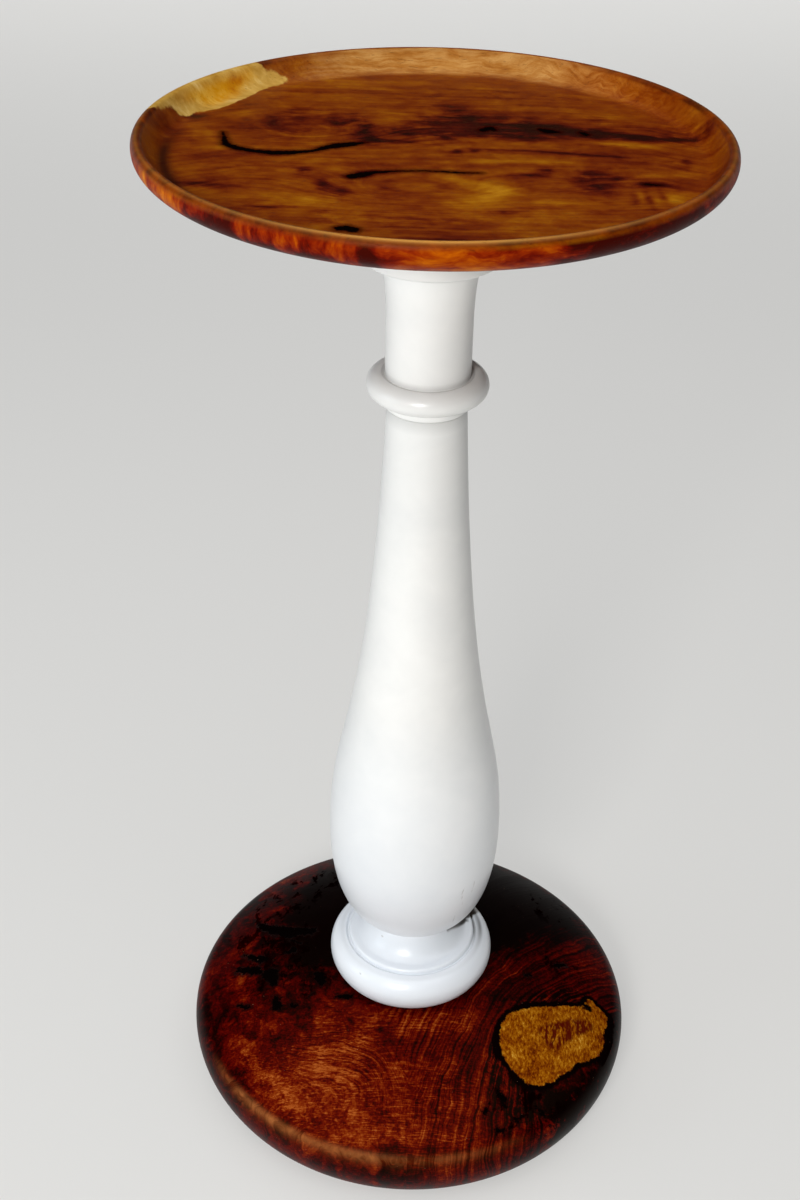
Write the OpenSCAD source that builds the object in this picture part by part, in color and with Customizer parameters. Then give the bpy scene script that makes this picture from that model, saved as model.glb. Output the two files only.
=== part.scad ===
// Tilt-top pedestal table: dished round top on a painted baluster, with a tilting block and a sprung catch.
// Millimetres, +Z up. Origin on the floor under the middle of the base. The front of the table faces -Y,
// and the top tips up about a hinge line along X, at the back of the block.

/* [Sub-part] */
// sub-part to draw

/* [Tray] */
// height of the rim above the floor
table_h = 700; // [690:1:760]
// outside diameter of the tray
tray_d = 329; // [322:1:380]
// thickness from the flat underside to the rim
tray_th = 27; // [25:0.5:34]
// depth of the dish below the rim
dish_depth = 13; // [9:0.5:15]
// width of the sloping rim, from the outside to the floor of the dish
rim_w = 16.5; // [13:0.5:20]
// radius of the flat underside that the bearers are screwed to
underside_r = 120; // [112:1:124]

/* [Tilting block and bearers] */
// width of the block between the bearers
block_w = 100; // [92:1:110]
// distance from the column axis to the front face of the block
block_front = 42; // [38:0.5:44]
// distance from the column axis to the hinge line
pivot_y = 34; // [31:0.5:38]
// hinge line below the underside of the tray
pivot_drop = 14; // [12:0.5:16]
// height of the block
block_h = 32.7; // [30:0.1:36]
// play between the block and the underside of the tray
block_play = 0.3; // [0.2:0.05:0.6]
// thickness of a bearer
batten_t = 18; // [16:0.5:22]
// length of a bearer
batten_l = 188; // [176:1:190]
// full depth of a bearer
batten_h = 28; // [26:0.5:32]
// depth of a bearer at its ends
batten_end_h = 9; // [7:0.5:12]
// half length of the full-depth part of a bearer
batten_flat = 46; // [44:1:50]
// thickness of the thrust washers between block and bearers
washer_t = 1.0; // [0.8:0.1:1.6]
// play beside each thrust washer
washer_play = 0.1; // [0.05:0.05:0.2]
// radius of the smooth shoulder of a pivot screw
pivot_r = 4; // [3.5:0.25:5]
// play of the bearers on the pivot screws
pivot_play = 0.05; // [0.03:0.01:0.09]

/* [Spring catch] */
// thickness of the catch plate
plate_t = 2; // [1.5:0.25:2.5]
// width of the catch plate
plate_w = 40; // [36:1:44]
// length of the catch plate
plate_l = 40; // [38:1:42]
// gap between the front of the block and the catch case
case_gap = 6; // [5:0.25:8]
// width of the catch case
case_w = 16; // [15:0.5:18]
// length of the catch case
case_l = 32; // [31:0.5:34]
// depth of the catch case below its plate
case_h = 11.5; // [11:0.25:12.5]
// wall of the catch case
case_t = 1.5; // [1.2:0.1:1.8]
// travel of the bolt
bolt_travel = 6.5; // [6:0.25:7]
// reach of the bolt into the block
bolt_reach = 4.5; // [3.5:0.25:5]
// width of the nose of the bolt
nose_w = 10; // [8:0.5:11]
// height of the nose of the bolt
nose_h = 7; // [6:0.5:7.5]
// play of the bolt in its case
bolt_play = 0.2; // [0.15:0.05:0.3]

/* [Column] */
// radius of the lip of the capital
lip_r = 41; // [38:0.5:46]
// height of the lip of the capital
lip_h = 12; // [10:0.5:14]
// radius of the neck above the ring
neck_r = 25.6; // [23:0.1:28]
// height of the middle of the ring above the floor
ring_z = 548.5; // [520:0.5:556]
// outside radius of the ring
ring_r = 36.6; // [33:0.1:40]
// radius of the rounding of the ring
ring_tube = 7.4; // [6:0.1:8.5]
// radius of the shaft under the ring
shaft_r = 24.3; // [22:0.1:25]
// largest radius of the bulb
bulb_r = 59.2; // [54:0.1:64]
// height of the largest part of the bulb above the floor
bulb_z = 208; // [198:0.5:216]
// radius of the seat of the bulb on the foot ring
seat_r = 26; // [24:0.5:30]
// radius of both round tenons of the column
tenon_r = 15; // [13:0.5:16]

/* [Foot ring and base] */
// height of the base disc at the foot ring
base_h = 75; // [72:0.5:80]
// height of the foot ring
foot_h = 54; // [50:0.5:58]
// outside radius of the bead of the foot ring
foot_r = 59.1; // [56:0.1:62]
// widest radius of the base disc
base_r = 161; // [152:0.5:175]
// radius of the standing edge of the base disc
stand_r = 148.4; // [142:0.2:150]
// height of the widest part of the base disc
base_wide_z = 27.7; // [25:0.1:31]
// height of the shoulder of the base disc
base_shoulder_z = 45.6; // [43:0.1:50]
// depth of the hollow under the base
hollow_d = 1; // [0.5:0.1:2]
// radius of the hollow under the base
hollow_r = 108; // [90:1:112]

/* [Fasteners and pads] */
// radius of the coach screw
coach_r = 5; // [4:0.25:6]
// length of the coach screw under its head
coach_l = 80; // [70:1:88]
// radius of the felt pads
pad_r = 12; // [9:0.5:14]
// thickness of the felt pads
pad_t = 3; // [2.5:0.25:4]
// depth of the seat of the felt pads
pad_seat = 1.5; // [1:0.25:2]
// radius of the bearer screws
wood_screw_r = 2.1; // [1.8:0.1:2.4]
// radius of the small brass screws
brass_screw_r = 1.4; // [1.2:0.1:1.6]
// radius of the locking dowel
dowel_r = 3; // [2.5:0.25:3.5]

/* [Hidden] */
$fn = 96;
eps = 0.01;
step = 12;
tray_r = tray_d / 2;
tray_z = table_h - tray_th;
floor_z = table_h - dish_depth;
floor_r = tray_r - rim_w;
rim_round = 3.5;

pivot_z = tray_z - pivot_drop;
block_top = tray_z - block_play;
block_z = block_top - block_h;
roll_r = pivot_drop - block_play;
batten_x = block_w / 2 + washer_t + washer_play;
washer_r = 9;
washer_x = block_w / 2;

column_top = block_z;
lip_z = column_top - lip_h;
foot_top = base_h + foot_h;
base_z = pad_t - pad_seat;
counterbore_z = 20;
counterbore_r = 13;
mortise_web = 18;
mortise_z = counterbore_z + mortise_web;
coach_washer_t = 2.5;
coach_head_h = 7;
coach_bottom = counterbore_z - coach_washer_t;
coach_play = 0.4;
coach_washer_r = 11.5;
pad_ring_r = stand_r - pad_r - 5;
pad_count = 4;

case_y = -block_front - case_gap;
case_back = case_y - case_l;
plate_y = case_y + 2;
plate_z = tray_z - plate_t;
case_z = plate_z - case_h;
inner_w = case_w - 2 * case_t;
inner_z = case_z + case_t;
bolt_w = inner_w - 2 * bolt_play;
bolt_z = inner_z + bolt_play;
bolt_h = plate_z - bolt_play - bolt_z;
bolt_front = case_y - case_t - bolt_play;
bolt_back = case_back + case_t + bolt_travel + 0.5;
nose_z = bolt_z + (bolt_h - nose_h) / 2;
nose_y = -block_front + bolt_reach;
spring_r = 2.6;
spring_wire = 0.7;
spring_z = bolt_z + bolt_h / 2;
spring_bore = spring_r + spring_wire / 2 + 0.35;
spring_bore_d = 4;
spring_turns = 6;
stem_r = 1.8;
stem_y = bolt_back + spring_bore_d + 2.6 + stem_r;
stem_top = bolt_z + 5;
knob_r = 5;
knob_h = 8;
knob_z = case_z - 0.6 - knob_h;

strike_w = 28;
strike_h = 20;
strike_t = 1.5;
strike_z = block_top - strike_h - 1.2;
strike_play = 0.3;

wood_head_r = 4;
wood_screw_l = 22;
wood_screw_z = tray_z + 10 - wood_screw_l;
wood_screw_ys = [-78, -16, 78];
brass_head_r = 2.6;
brass_screw_l = 10;
strike_screw_l = 12;
dowel_z = block_z + dowel_r + 3;
dowel_reach = 24;
kerf_top = 2.8;
kerf_bottom = 0.9;
kerf_z = dowel_z + dowel_r + 4;
pivot_head_r = 7;
pivot_head_h = 3.2;
pivot_head_depth = 4;
pivot_shoulder_in = 2;
pivot_thread_r = pivot_r - 0.6;
pivot_thread_l = 26;

// a cubic curve from a to d, steered by b and c, as points without the last one
function curve(a, b, c, d, n = step) = [
  for (i = [0 : n - 1])
    let (t = i / n, s = 1 - t)
      s * s * s * a + 3 * s * s * t * b + 3 * s * t * t * c + t * t * t * d
];

// points of an elliptical arc about (cr, cz), from angle a0 to a1
function arc(cr, cz, ra, rb, a0, a1, n = step) = [
  for (i = [0 : n]) let (a = a0 + (a1 - a0) * i / n) [cr + ra * cos(a), cz + rb * sin(a)]
];

// half outline of a screw standing on its head: countersunk head, shank, ringed thread and point
function screw_outline(r, head_r, head_h, length, smooth, pitch) =
  let (
    core = r * 0.72,
    rings = floor((length - smooth - 2 * r) / pitch),
    thread_end = smooth + rings * pitch
  )
    concat(
      [[0, 0], [head_r, 0], [r, head_h], [r, smooth]],
      [for (i = [0 : rings - 1])
        each [[core, smooth + i * pitch + pitch * 0.35], [r, smooth + (i + 1) * pitch]]],
      [[core, thread_end + 0.3], [0, length]]
    );

// countersunk wood screw, head down at the origin, with a slot
module wood_screw(r, head_r, length, smooth) {
  difference() {
    rotate_extrude() polygon(screw_outline(r, head_r, head_r - r, length, smooth, 1.6));
    translate([-head_r - 1, -0.45, -1]) cube([2 * head_r + 2, 0.9, 1.9]);
  }
}

// the hole that a wood screw fills, with its countersunk seat and a free bore under the head
module wood_screw_hole(r, head_r, length, bore_r, below) {
  rotate_extrude() polygon([
    [0, -below], [bore_r, -below], [bore_r, 0], [head_r, 0], [r, head_r - r], [r, length], [0, length]
  ]);
}

module at_wood_screws() {
  for (side = [-1, 1], y = wood_screw_ys)
    translate([side * (batten_x + batten_t / 2), y, wood_screw_z]) children();
}

module at_catch_screws() {
  for (sx = [-1, 1], sy = [0, 1])
    translate([sx * (plate_w / 2 - 5), plate_y - plate_l + 5 + sy * (plate_l - 10), plate_z]) children();
}

module at_strike_screws() {
  for (sx = [-1, 1])
    translate([sx * (strike_w / 2 - 3.5), -block_front, strike_z + 4]) rotate([-90, 0, 0]) children();
}

module at_floor_pads() {
  for (i = [0 : pad_count - 1])
    rotate([0, 0, 45 + i * 360 / pad_count]) translate([pad_ring_r, 0, 0]) children();
}

// flat slab with rounded corners, from a corner at the origin
module rounded_slab(w, l, t, r) {
  translate([r, 0, 0]) cube([w - 2 * r, l, t]);
  translate([0, r, 0]) cube([w, l - 2 * r, t]);
  for (x = [r, w - r], y = [r, l - r]) translate([x, y, 0]) cylinder(h = t, r = r);
}

// round dished top: flat underside, bowl-shaped edge, rounded rim, coved inner slope
module tray_top() {
  outline = concat(
    [[0, tray_z]],
    curve([underside_r, tray_z], [underside_r + 13, tray_z],
      [tray_r - 22, tray_z + 4.4], [tray_r - 14.5, tray_z + 7.4]),
    curve([tray_r - 14.5, tray_z + 7.4], [tray_r - 8, tray_z + 10.1],
      [tray_r, tray_z + 14], [tray_r, table_h - 5.5]),
    curve([tray_r, table_h - 5.5], [tray_r, table_h - 2],
      [tray_r - 1.5, table_h], [tray_r - rim_round, table_h], 8),
    curve([tray_r - rim_round, table_h], [tray_r - 5, table_h],
      [tray_r - 5.7, table_h - 0.7], [tray_r - 6.5, table_h - 2.2], 6),
    curve([tray_r - 6.5, table_h - 2.2], [tray_r - 8.5, table_h - 6.2],
      [floor_r + 5, floor_z], [floor_r, floor_z]),
    [[floor_r, floor_z], [0, floor_z]]
  );
  color("peru") difference() {
    rotate_extrude() polygon(outline);
    at_wood_screws() wood_screw_hole(wood_screw_r, wood_head_r, wood_screw_l, wood_head_r + 0.4, 5);
    at_catch_screws() wood_screw_hole(brass_screw_r, brass_head_r, brass_screw_l, brass_head_r, 1);
  }
}

// one bearer, lying beside the block, with tapered and rounded ends
module batten(side) {
  half = batten_l / 2;
  low = tray_z - batten_h;
  end_low = tray_z - batten_end_h;
  inner = side > 0 ? batten_x : -batten_x - batten_t;
  outline = concat(
    [[-half, tray_z], [-half, end_low + 3]],
    arc(-half + 3, end_low + 3, 3, 3, 180, 250, 4),
    [[-batten_flat, low], [batten_flat, low]],
    arc(half - 3, end_low + 3, 3, 3, -70, 0, 4),
    [[half, tray_z]]
  );
  difference() {
    translate([inner, 0, 0]) rotate([90, 0, 90]) linear_extrude(batten_t) polygon(outline);
    translate([inner - 1, pivot_y, pivot_z]) rotate([0, 90, 0])
      cylinder(h = batten_t + 2, r = pivot_r + pivot_play);
    translate([side > 0 ? inner + batten_t - pivot_head_depth : inner - 1, pivot_y, pivot_z])
      rotate([0, 90, 0]) cylinder(h = pivot_head_depth + 1, r = pivot_head_r + 0.4);
    at_wood_screws() wood_screw_hole(wood_screw_r, wood_head_r, wood_screw_l, wood_head_r + 0.4, 30);
  }
}

module batten_left() {
  color("saddlebrown") batten(-1);
}

module batten_right() {
  color("saddlebrown") batten(1);
}

module batten_screws() {
  color("silver") at_wood_screws() wood_screw(wood_screw_r, wood_head_r, wood_screw_l, 8);
}

// hardwood block: square to the front and below, rolled round the hinge line at the upper back edge
module tilt_block() {
  back = pivot_y + roll_r;
  color("sienna") difference() {
    union() {
      translate([-block_w / 2, -block_front, block_z]) cube([block_w, block_front + pivot_y, block_h]);
      translate([-block_w / 2, pivot_y - eps, block_z]) cube([block_w, roll_r + eps, pivot_z - block_z]);
      translate([-block_w / 2, pivot_y, pivot_z]) rotate([0, 90, 0]) cylinder(h = block_w, r = roll_r);
    }
    translate([0, 0, block_z - 1]) cylinder(h = block_h + 2, r = tenon_r);
    for (side = [-1, 1]) {
      translate([side * block_w / 2, pivot_y, pivot_z]) rotate([0, -side * 90, 0]) {
        translate([0, 0, -1]) cylinder(h = 1 + pivot_shoulder_in, r = pivot_r);
        cylinder(h = pivot_shoulder_in + pivot_thread_l, r = pivot_thread_r);
      }
    }
    translate([-block_w / 2 - 1, 0, dowel_z]) rotate([0, 90, 0])
      cylinder(h = block_w / 2 + 1 + dowel_reach, r = dowel_r);
    translate([-strike_w / 2, -block_front - 1, strike_z]) cube([strike_w, strike_t + 1, strike_h]);
    translate([-nose_w / 2 - 1, -block_front - 1, nose_z - 1])
      cube([nose_w + 2, bolt_reach + 2, nose_h + 1.8]);
    at_strike_screws() wood_screw_hole(brass_screw_r, brass_head_r, strike_screw_l, brass_head_r, 2);
  }
}

// wedge in the saw cut of the upper tenon
module wedge_blank(play) {
  rotate([90, 0, 90]) translate([0, 0, -tenon_r - 1]) linear_extrude(2 * tenon_r + 2) polygon([
    [-kerf_bottom / 2, kerf_z - play], [kerf_bottom / 2, kerf_z - play],
    [kerf_top / 2, block_top], [-kerf_top / 2, block_top]
  ]);
}

module tenon_wedge() {
  color("tan") intersection() {
    wedge_blank(0);
    translate([0, 0, block_z]) cylinder(h = block_h + 1, r = tenon_r - 0.02);
  }
}

module tenon_pin() {
  color("tan") translate([-block_w / 2, 0, dowel_z]) rotate([0, 90, 0])
    cylinder(h = block_w / 2 + dowel_reach, r = dowel_r);
}

// shouldered brass screw on the hinge line, drawn from the inner end of its thread towards its head
module pivot_screw(side) {
  shoulder = pivot_shoulder_in + washer_t + washer_play + batten_t - pivot_head_depth;
  rings = 12;
  pitch = pivot_thread_l / rings;
  outline = concat(
    [[0, 0], [pivot_thread_r * 0.7, 0]],
    [for (i = [0 : rings - 1])
      each [[pivot_thread_r * 0.78, i * pitch + pitch * 0.4], [pivot_thread_r, (i + 1) * pitch]]],
    [[pivot_r, pivot_thread_l], [pivot_r, pivot_thread_l + shoulder + 0.1],
      [pivot_head_r, pivot_thread_l + shoulder + 0.1]],
    arc(pivot_head_r - 1, pivot_thread_l + shoulder + pivot_head_h - 1, 1, 1, 0, 90, 4),
    [[0, pivot_thread_l + shoulder + pivot_head_h]]
  );
  translate([side * (block_w / 2 - pivot_shoulder_in - pivot_thread_l), pivot_y, pivot_z])
    rotate([0, side * 90, 0])
    difference() {
      rotate_extrude() polygon(outline);
      translate([-pivot_head_r - 1, -0.7, pivot_thread_l + shoulder + pivot_head_h - 1.3])
        cube([2 * pivot_head_r + 2, 1.4, 2]);
    }
}

module pivot_screw_left() {
  color("goldenrod") pivot_screw(-1);
}

module pivot_screw_right() {
  color("goldenrod") pivot_screw(1);
}

module pivot_washers() {
  color("gold") for (side = [-1, 1])
    translate([side * washer_x, pivot_y, pivot_z]) rotate([0, side * 90, 0]) difference() {
      cylinder(h = washer_t, r = washer_r);
      translate([0, 0, -1]) cylinder(h = washer_t + 2, r = pivot_r + pivot_play);
    }
}

// plate of the catch, flat on the underside of the tray
module catch_plate() {
  color("gold") difference() {
    translate([-plate_w / 2, plate_y - plate_l, plate_z]) rounded_slab(plate_w, plate_l, plate_t, 4);
    at_catch_screws() wood_screw_hole(brass_screw_r, brass_head_r, brass_screw_l, brass_head_r, 1);
  }
}

// folded housing of the bolt, open against the plate, with a window in front and a slot for the knob
module catch_case() {
  color("gold") difference() {
    translate([-case_w / 2, case_back, case_z]) cube([case_w, case_l, case_h]);
    translate([-inner_w / 2, case_back + case_t, inner_z]) cube([inner_w, case_l - 2 * case_t, case_h]);
    translate([-nose_w / 2 - bolt_play, case_y - case_t - 1, nose_z - bolt_play])
      cube([nose_w + 2 * bolt_play, case_t + 2, nose_h + 2 * bolt_play]);
    translate([-stem_r - 0.3, stem_y - bolt_travel, case_z - 1])
      cube([2 * stem_r + 0.6, bolt_travel, case_t + 2]);
    for (y = [stem_y - bolt_travel, stem_y])
      translate([0, y, case_z - 1]) cylinder(h = case_t + 2, r = stem_r + 0.3);
  }
}

// bolt with a flat top and a nose bevelled from below, so that it snaps in as the top comes down
module catch_bolt() {
  color("goldenrod") difference() {
    union() {
      translate([-bolt_w / 2, bolt_back, bolt_z]) cube([bolt_w, bolt_front - bolt_back, bolt_h]);
      translate([-nose_w / 2, 0, 0]) rotate([90, 0, 90]) linear_extrude(nose_w) polygon([
        [bolt_front - 1, nose_z], [-block_front - 0.8, nose_z], [nose_y, nose_z + nose_h - 1.5],
        [nose_y, nose_z + nose_h], [bolt_front - 1, nose_z + nose_h]
      ]);
    }
    translate([0, bolt_back - 1, spring_z]) rotate([-90, 0, 0])
      cylinder(h = 1 + spring_bore_d, r = spring_bore);
    translate([0, stem_y, bolt_z - 1]) cylinder(h = 1 + stem_top - bolt_z, r = stem_r);
  }
}

// turned knob on a stem that is screwed into the bolt
module catch_knob() {
  color("goldenrod") translate([0, stem_y, 0]) rotate_extrude() polygon(concat(
    [[0, knob_z]],
    arc(knob_r - 2.2, knob_z + 2.2, 2.2, 2.2, -90, 0, 5),
    arc(knob_r - 2.2, knob_z + 3.4, 2.2, 2.2, 0, 60, 4),
    [[2.6, knob_z + knob_h - 1.2], [3.2, knob_z + knob_h], [stem_r, knob_z + knob_h],
      [stem_r, stem_top], [0, stem_top]]
  ));
}

// coil spring behind the bolt: round wire on a helix, with nearly closed turns at both ends
module catch_spring() {
  start = case_back + case_t;
  length = bolt_back + spring_bore_d - start - spring_wire;
  n = 14 * spring_turns;
  m = 6;
  points = [
    for (i = [0 : n], k = [0 : m - 1])
      let (
        a = 360 * spring_turns * i / n,
        u = i / n,
        rise = length * (u - 0.1 * sin(360 * u)),
        b = 360 * k / m,
        r = spring_r + spring_wire / 2 * cos(b)
      )
        [r * cos(a), r * sin(a), rise + spring_wire / 2 * sin(b)]
  ];
  sides = [
    for (i = [0 : n - 1], k = [0 : m - 1])
      let (j = (k + 1) % m)
        [i * m + k, i * m + j, (i + 1) * m + j, (i + 1) * m + k]
  ];
  ends = [[for (k = [m - 1 : -1 : 0]) k], [for (k = [0 : m - 1]) n * m + k]];
  color("lightgrey") translate([0, start + spring_wire / 2, spring_z]) rotate([-90, 0, 0])
    polyhedron(points, concat(sides, ends));
}

module catch_screws() {
  color("gold") at_catch_screws() wood_screw(brass_screw_r, brass_head_r, brass_screw_l, 3);
}

// strike let in flush with the front of the block
module strike_plate() {
  color("gold") difference() {
    translate([-strike_w / 2, -block_front, strike_z]) cube([strike_w, strike_t, strike_h]);
    translate([-nose_w / 2 - strike_play, -block_front - 1, nose_z - strike_play])
      cube([nose_w + 2 * strike_play, strike_t + 2, nose_h + 2 * strike_play]);
    at_strike_screws() wood_screw_hole(brass_screw_r, brass_head_r, strike_screw_l, brass_head_r, 2);
  }
}

module strike_screws() {
  color("gold") at_strike_screws() wood_screw(brass_screw_r, brass_head_r, strike_screw_l, 3);
}

// baluster: lower tenon, bulb, tapering shaft, ring, neck, capital and upper tenon
module column() {
  ring_c = ring_r - ring_tube;
  fillet_r = shaft_r + 1.3;
  fillet_z = ring_z - 13.6;
  outline = concat(
    [[0, mortise_z], [tenon_r - 1, mortise_z], [tenon_r, mortise_z + 1], [tenon_r, foot_top]],
    curve([seat_r, foot_top], [seat_r + 14, foot_top], [bulb_r, bulb_z - 62], [bulb_r, bulb_z], 16),
    curve([bulb_r, bulb_z], [bulb_r, bulb_z + 88.6],
      [shaft_r + 10.6, bulb_z + 73.2], [shaft_r, fillet_z - 1.3], 28),
    [[shaft_r, fillet_z - 1.3], [shaft_r - 0.9, fillet_z - 0.5], [fillet_r - 0.3, fillet_z]],
    curve([fillet_r, fillet_z + 0.3], [fillet_r, fillet_z + 3],
      [ring_c - 3.2, ring_z - 7.8], [ring_c - 1.9, ring_z - 7.1], 5),
    arc(ring_c, ring_z, ring_tube, ring_tube, -90, 118, 24),
    [[neck_r, ring_z + ring_tube]],
    curve([neck_r, lip_z - 38], [neck_r, lip_z - 22], [neck_r + 1.4, lip_z - 8], [neck_r + 4.4, lip_z], 12),
    [[neck_r + 4.4, lip_z]],
    arc(lip_r - 2, lip_z + 2, 2, 2, -90, 0, 5),
    arc(lip_r - 1.5, column_top - 1.5, 1.5, 1.5, 0, 90, 4),
    [[tenon_r, column_top], [tenon_r, block_top], [0, block_top]]
  );
  color("white") difference() {
    rotate_extrude() polygon(outline);
    translate([0, 0, mortise_z - 1])
      cylinder(h = 1 + coach_bottom + coach_washer_t + coach_l - mortise_z, r = coach_r);
    translate([-block_w / 2 - 1, 0, dowel_z]) rotate([0, 90, 0])
      cylinder(h = block_w / 2 + 1 + dowel_reach, r = dowel_r);
    wedge_blank(0);
  }
}

// turned collar under the bulb: cove, fillet, groove and half-round bead
module foot_ring() {
  bead_b = 15.1;
  bead_a = 14;
  bead_c = foot_r - bead_a;
  bead_z = base_h + bead_b;
  fillet_z = bead_z + bead_b - 0.2;
  color("white") rotate_extrude() polygon(concat(
    [[tenon_r, base_h], [bead_c, base_h]],
    arc(bead_c, bead_z, bead_a, bead_b, -84, 78, 22),
    [[bead_c + 1.7, bead_z + bead_b - 1.6], [bead_c + 0.6, bead_z + bead_b - 1.6], [bead_c + 0.4, fillet_z]],
    arc(bead_c - 1.6, fillet_z, 2, 2, 0, 90, 5),
    curve([bead_c - 4.4, fillet_z + 2.1], [bead_c - 11, fillet_z + 2.5],
      [seat_r + 1.5, foot_top - 10], [seat_r + 1, foot_top - 1.5], 12),
    [[seat_r + 1, foot_top - 1.5], [seat_r, foot_top], [tenon_r, foot_top]]
  ));
}

// heavy turned base: hollow underneath, bulging edge, shoulder and domed top
module base_disc() {
  outline = concat(
    [[0, base_z + hollow_d], [hollow_r, base_z + hollow_d], [hollow_r + 4, base_z]],
    curve([stand_r, base_z], [stand_r + 5, base_z + 1.5],
      [base_r, base_wide_z - 11.7], [base_r, base_wide_z]),
    curve([base_r, base_wide_z], [base_r, base_wide_z + 9.3],
      [base_r - 3.5, base_shoulder_z - 3.1], [base_r - 9, base_shoulder_z]),
    curve([base_r - 9, base_shoulder_z], [base_r - 31, base_shoulder_z + 12.4],
      [base_r - 66, base_h - 5], [foot_r - 7, base_h], 20),
    [[foot_r - 7, base_h], [0, base_h]]
  );
  color("maroon") difference() {
    rotate_extrude() polygon(outline);
    translate([0, 0, mortise_z]) cylinder(h = base_h - mortise_z + 1, r = tenon_r);
    translate([0, 0, -1]) cylinder(h = counterbore_z + 1, r = counterbore_r);
    cylinder(h = base_h, r = coach_r + coach_play);
    at_floor_pads() cylinder(h = pad_t, r = pad_r);
  }
}

// coach screw: hexagon head, shank and ringed thread
module base_screw() {
  smooth = 26;
  pitch = 3.2;
  rings = floor((coach_l - smooth - 8) / pitch);
  outline = concat(
    [[0, 0], [coach_r, 0], [coach_r, smooth]],
    [for (i = [0 : rings - 1])
      each [[coach_r * 0.72, smooth + i * pitch + pitch * 0.4], [coach_r, smooth + (i + 1) * pitch]]],
    [[coach_r * 0.72, smooth + rings * pitch + 1], [0, coach_l]]
  );
  color("silver") {
    translate([0, 0, counterbore_z - coach_washer_t]) rotate_extrude() polygon(outline);
    translate([0, 0, coach_bottom - coach_head_h]) cylinder(h = coach_head_h, r = coach_r * 1.96, $fn = 6);
  }
}

module base_washer() {
  color("silver") translate([0, 0, coach_bottom]) difference() {
    cylinder(h = coach_washer_t, r = coach_washer_r);
    translate([0, 0, -1]) cylinder(h = coach_washer_t + 2, r = coach_r + coach_play);
  }
}

module floor_pads() {
  color("darkolivegreen") at_floor_pads() cylinder(h = pad_t, r = pad_r);
}

tray_top();
batten_left();
batten_right();
batten_screws();
tilt_block();
tenon_wedge();
tenon_pin();
pivot_screw_left();
pivot_screw_right();
pivot_washers();
catch_plate();
catch_case();
catch_bolt();
catch_knob();
catch_spring();
catch_screws();
strike_plate();
strike_screws();
column();
foot_ring();
base_disc();
base_screw();
base_washer();
floor_pads();
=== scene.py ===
"""Tilt-top table: dished golden-brown top, white baluster, dark burr base, in a pale studio."""
import bpy
import math
import numpy as np
from mathutils import Matrix, Vector


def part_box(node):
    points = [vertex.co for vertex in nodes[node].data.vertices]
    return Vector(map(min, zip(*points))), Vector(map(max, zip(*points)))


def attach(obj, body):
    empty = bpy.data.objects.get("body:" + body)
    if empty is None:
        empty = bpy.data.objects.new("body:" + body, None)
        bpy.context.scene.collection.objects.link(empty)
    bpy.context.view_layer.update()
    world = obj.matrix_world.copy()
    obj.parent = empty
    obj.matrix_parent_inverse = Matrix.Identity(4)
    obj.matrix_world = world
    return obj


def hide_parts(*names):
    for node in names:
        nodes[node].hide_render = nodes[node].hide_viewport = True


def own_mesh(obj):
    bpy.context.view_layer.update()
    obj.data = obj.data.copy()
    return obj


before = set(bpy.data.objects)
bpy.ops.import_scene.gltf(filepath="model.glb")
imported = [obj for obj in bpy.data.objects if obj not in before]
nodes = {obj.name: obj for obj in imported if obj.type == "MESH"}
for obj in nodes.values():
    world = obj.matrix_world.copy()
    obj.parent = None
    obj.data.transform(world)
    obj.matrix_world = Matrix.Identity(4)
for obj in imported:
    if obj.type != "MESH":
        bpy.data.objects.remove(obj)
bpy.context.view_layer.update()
scene = bpy.context.scene
MM = 0.001


def box_mm(node):
    """The lowest and the highest corner of a CAD node at rest, in mm."""
    return [[round(value / MM, 3) for value in corner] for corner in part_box(node)]


# ======== camera, at the photograph's angle: angles in radians, place in metres
PITCH = 0.584
YAW = -0.015
ROLL = 0.022
EYE = Vector((0.0, -0.90627, 0.99280))
forward = Vector((math.sin(YAW) * math.cos(PITCH), math.cos(YAW) * math.cos(PITCH), -math.sin(PITCH)))
level = Vector((math.cos(YAW), -math.sin(YAW), 0))
steep = level.cross(forward)
right = level * math.cos(ROLL) + steep * math.sin(ROLL)
up = steep * math.cos(ROLL) - level * math.sin(ROLL)
lens = bpy.data.cameras.new("camera")
lens.sensor_width = 36
lens.lens = 50.736
camera = bpy.data.objects.new("camera", lens)
scene.collection.objects.link(camera)
camera.matrix_world = Matrix((
    (right.x, up.x, -forward.x, EYE.x),
    (right.y, up.y, -forward.y, EYE.y),
    (right.z, up.z, -forward.z, EYE.z),
    (0, 0, 0, 1)))
scene.camera = camera


# ======== materials made of nodes
def linear(value):
    """The light that a screen value of 0-255 stands for."""
    share = value / 255
    return share / 12.92 if share <= 0.04045 else ((share + 0.055) / 1.055) ** 2.4


def srgb(red, green, blue):
    """A colour written as 0-255 screen values."""
    return (linear(red), linear(green), linear(blue), 1.0)


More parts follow.
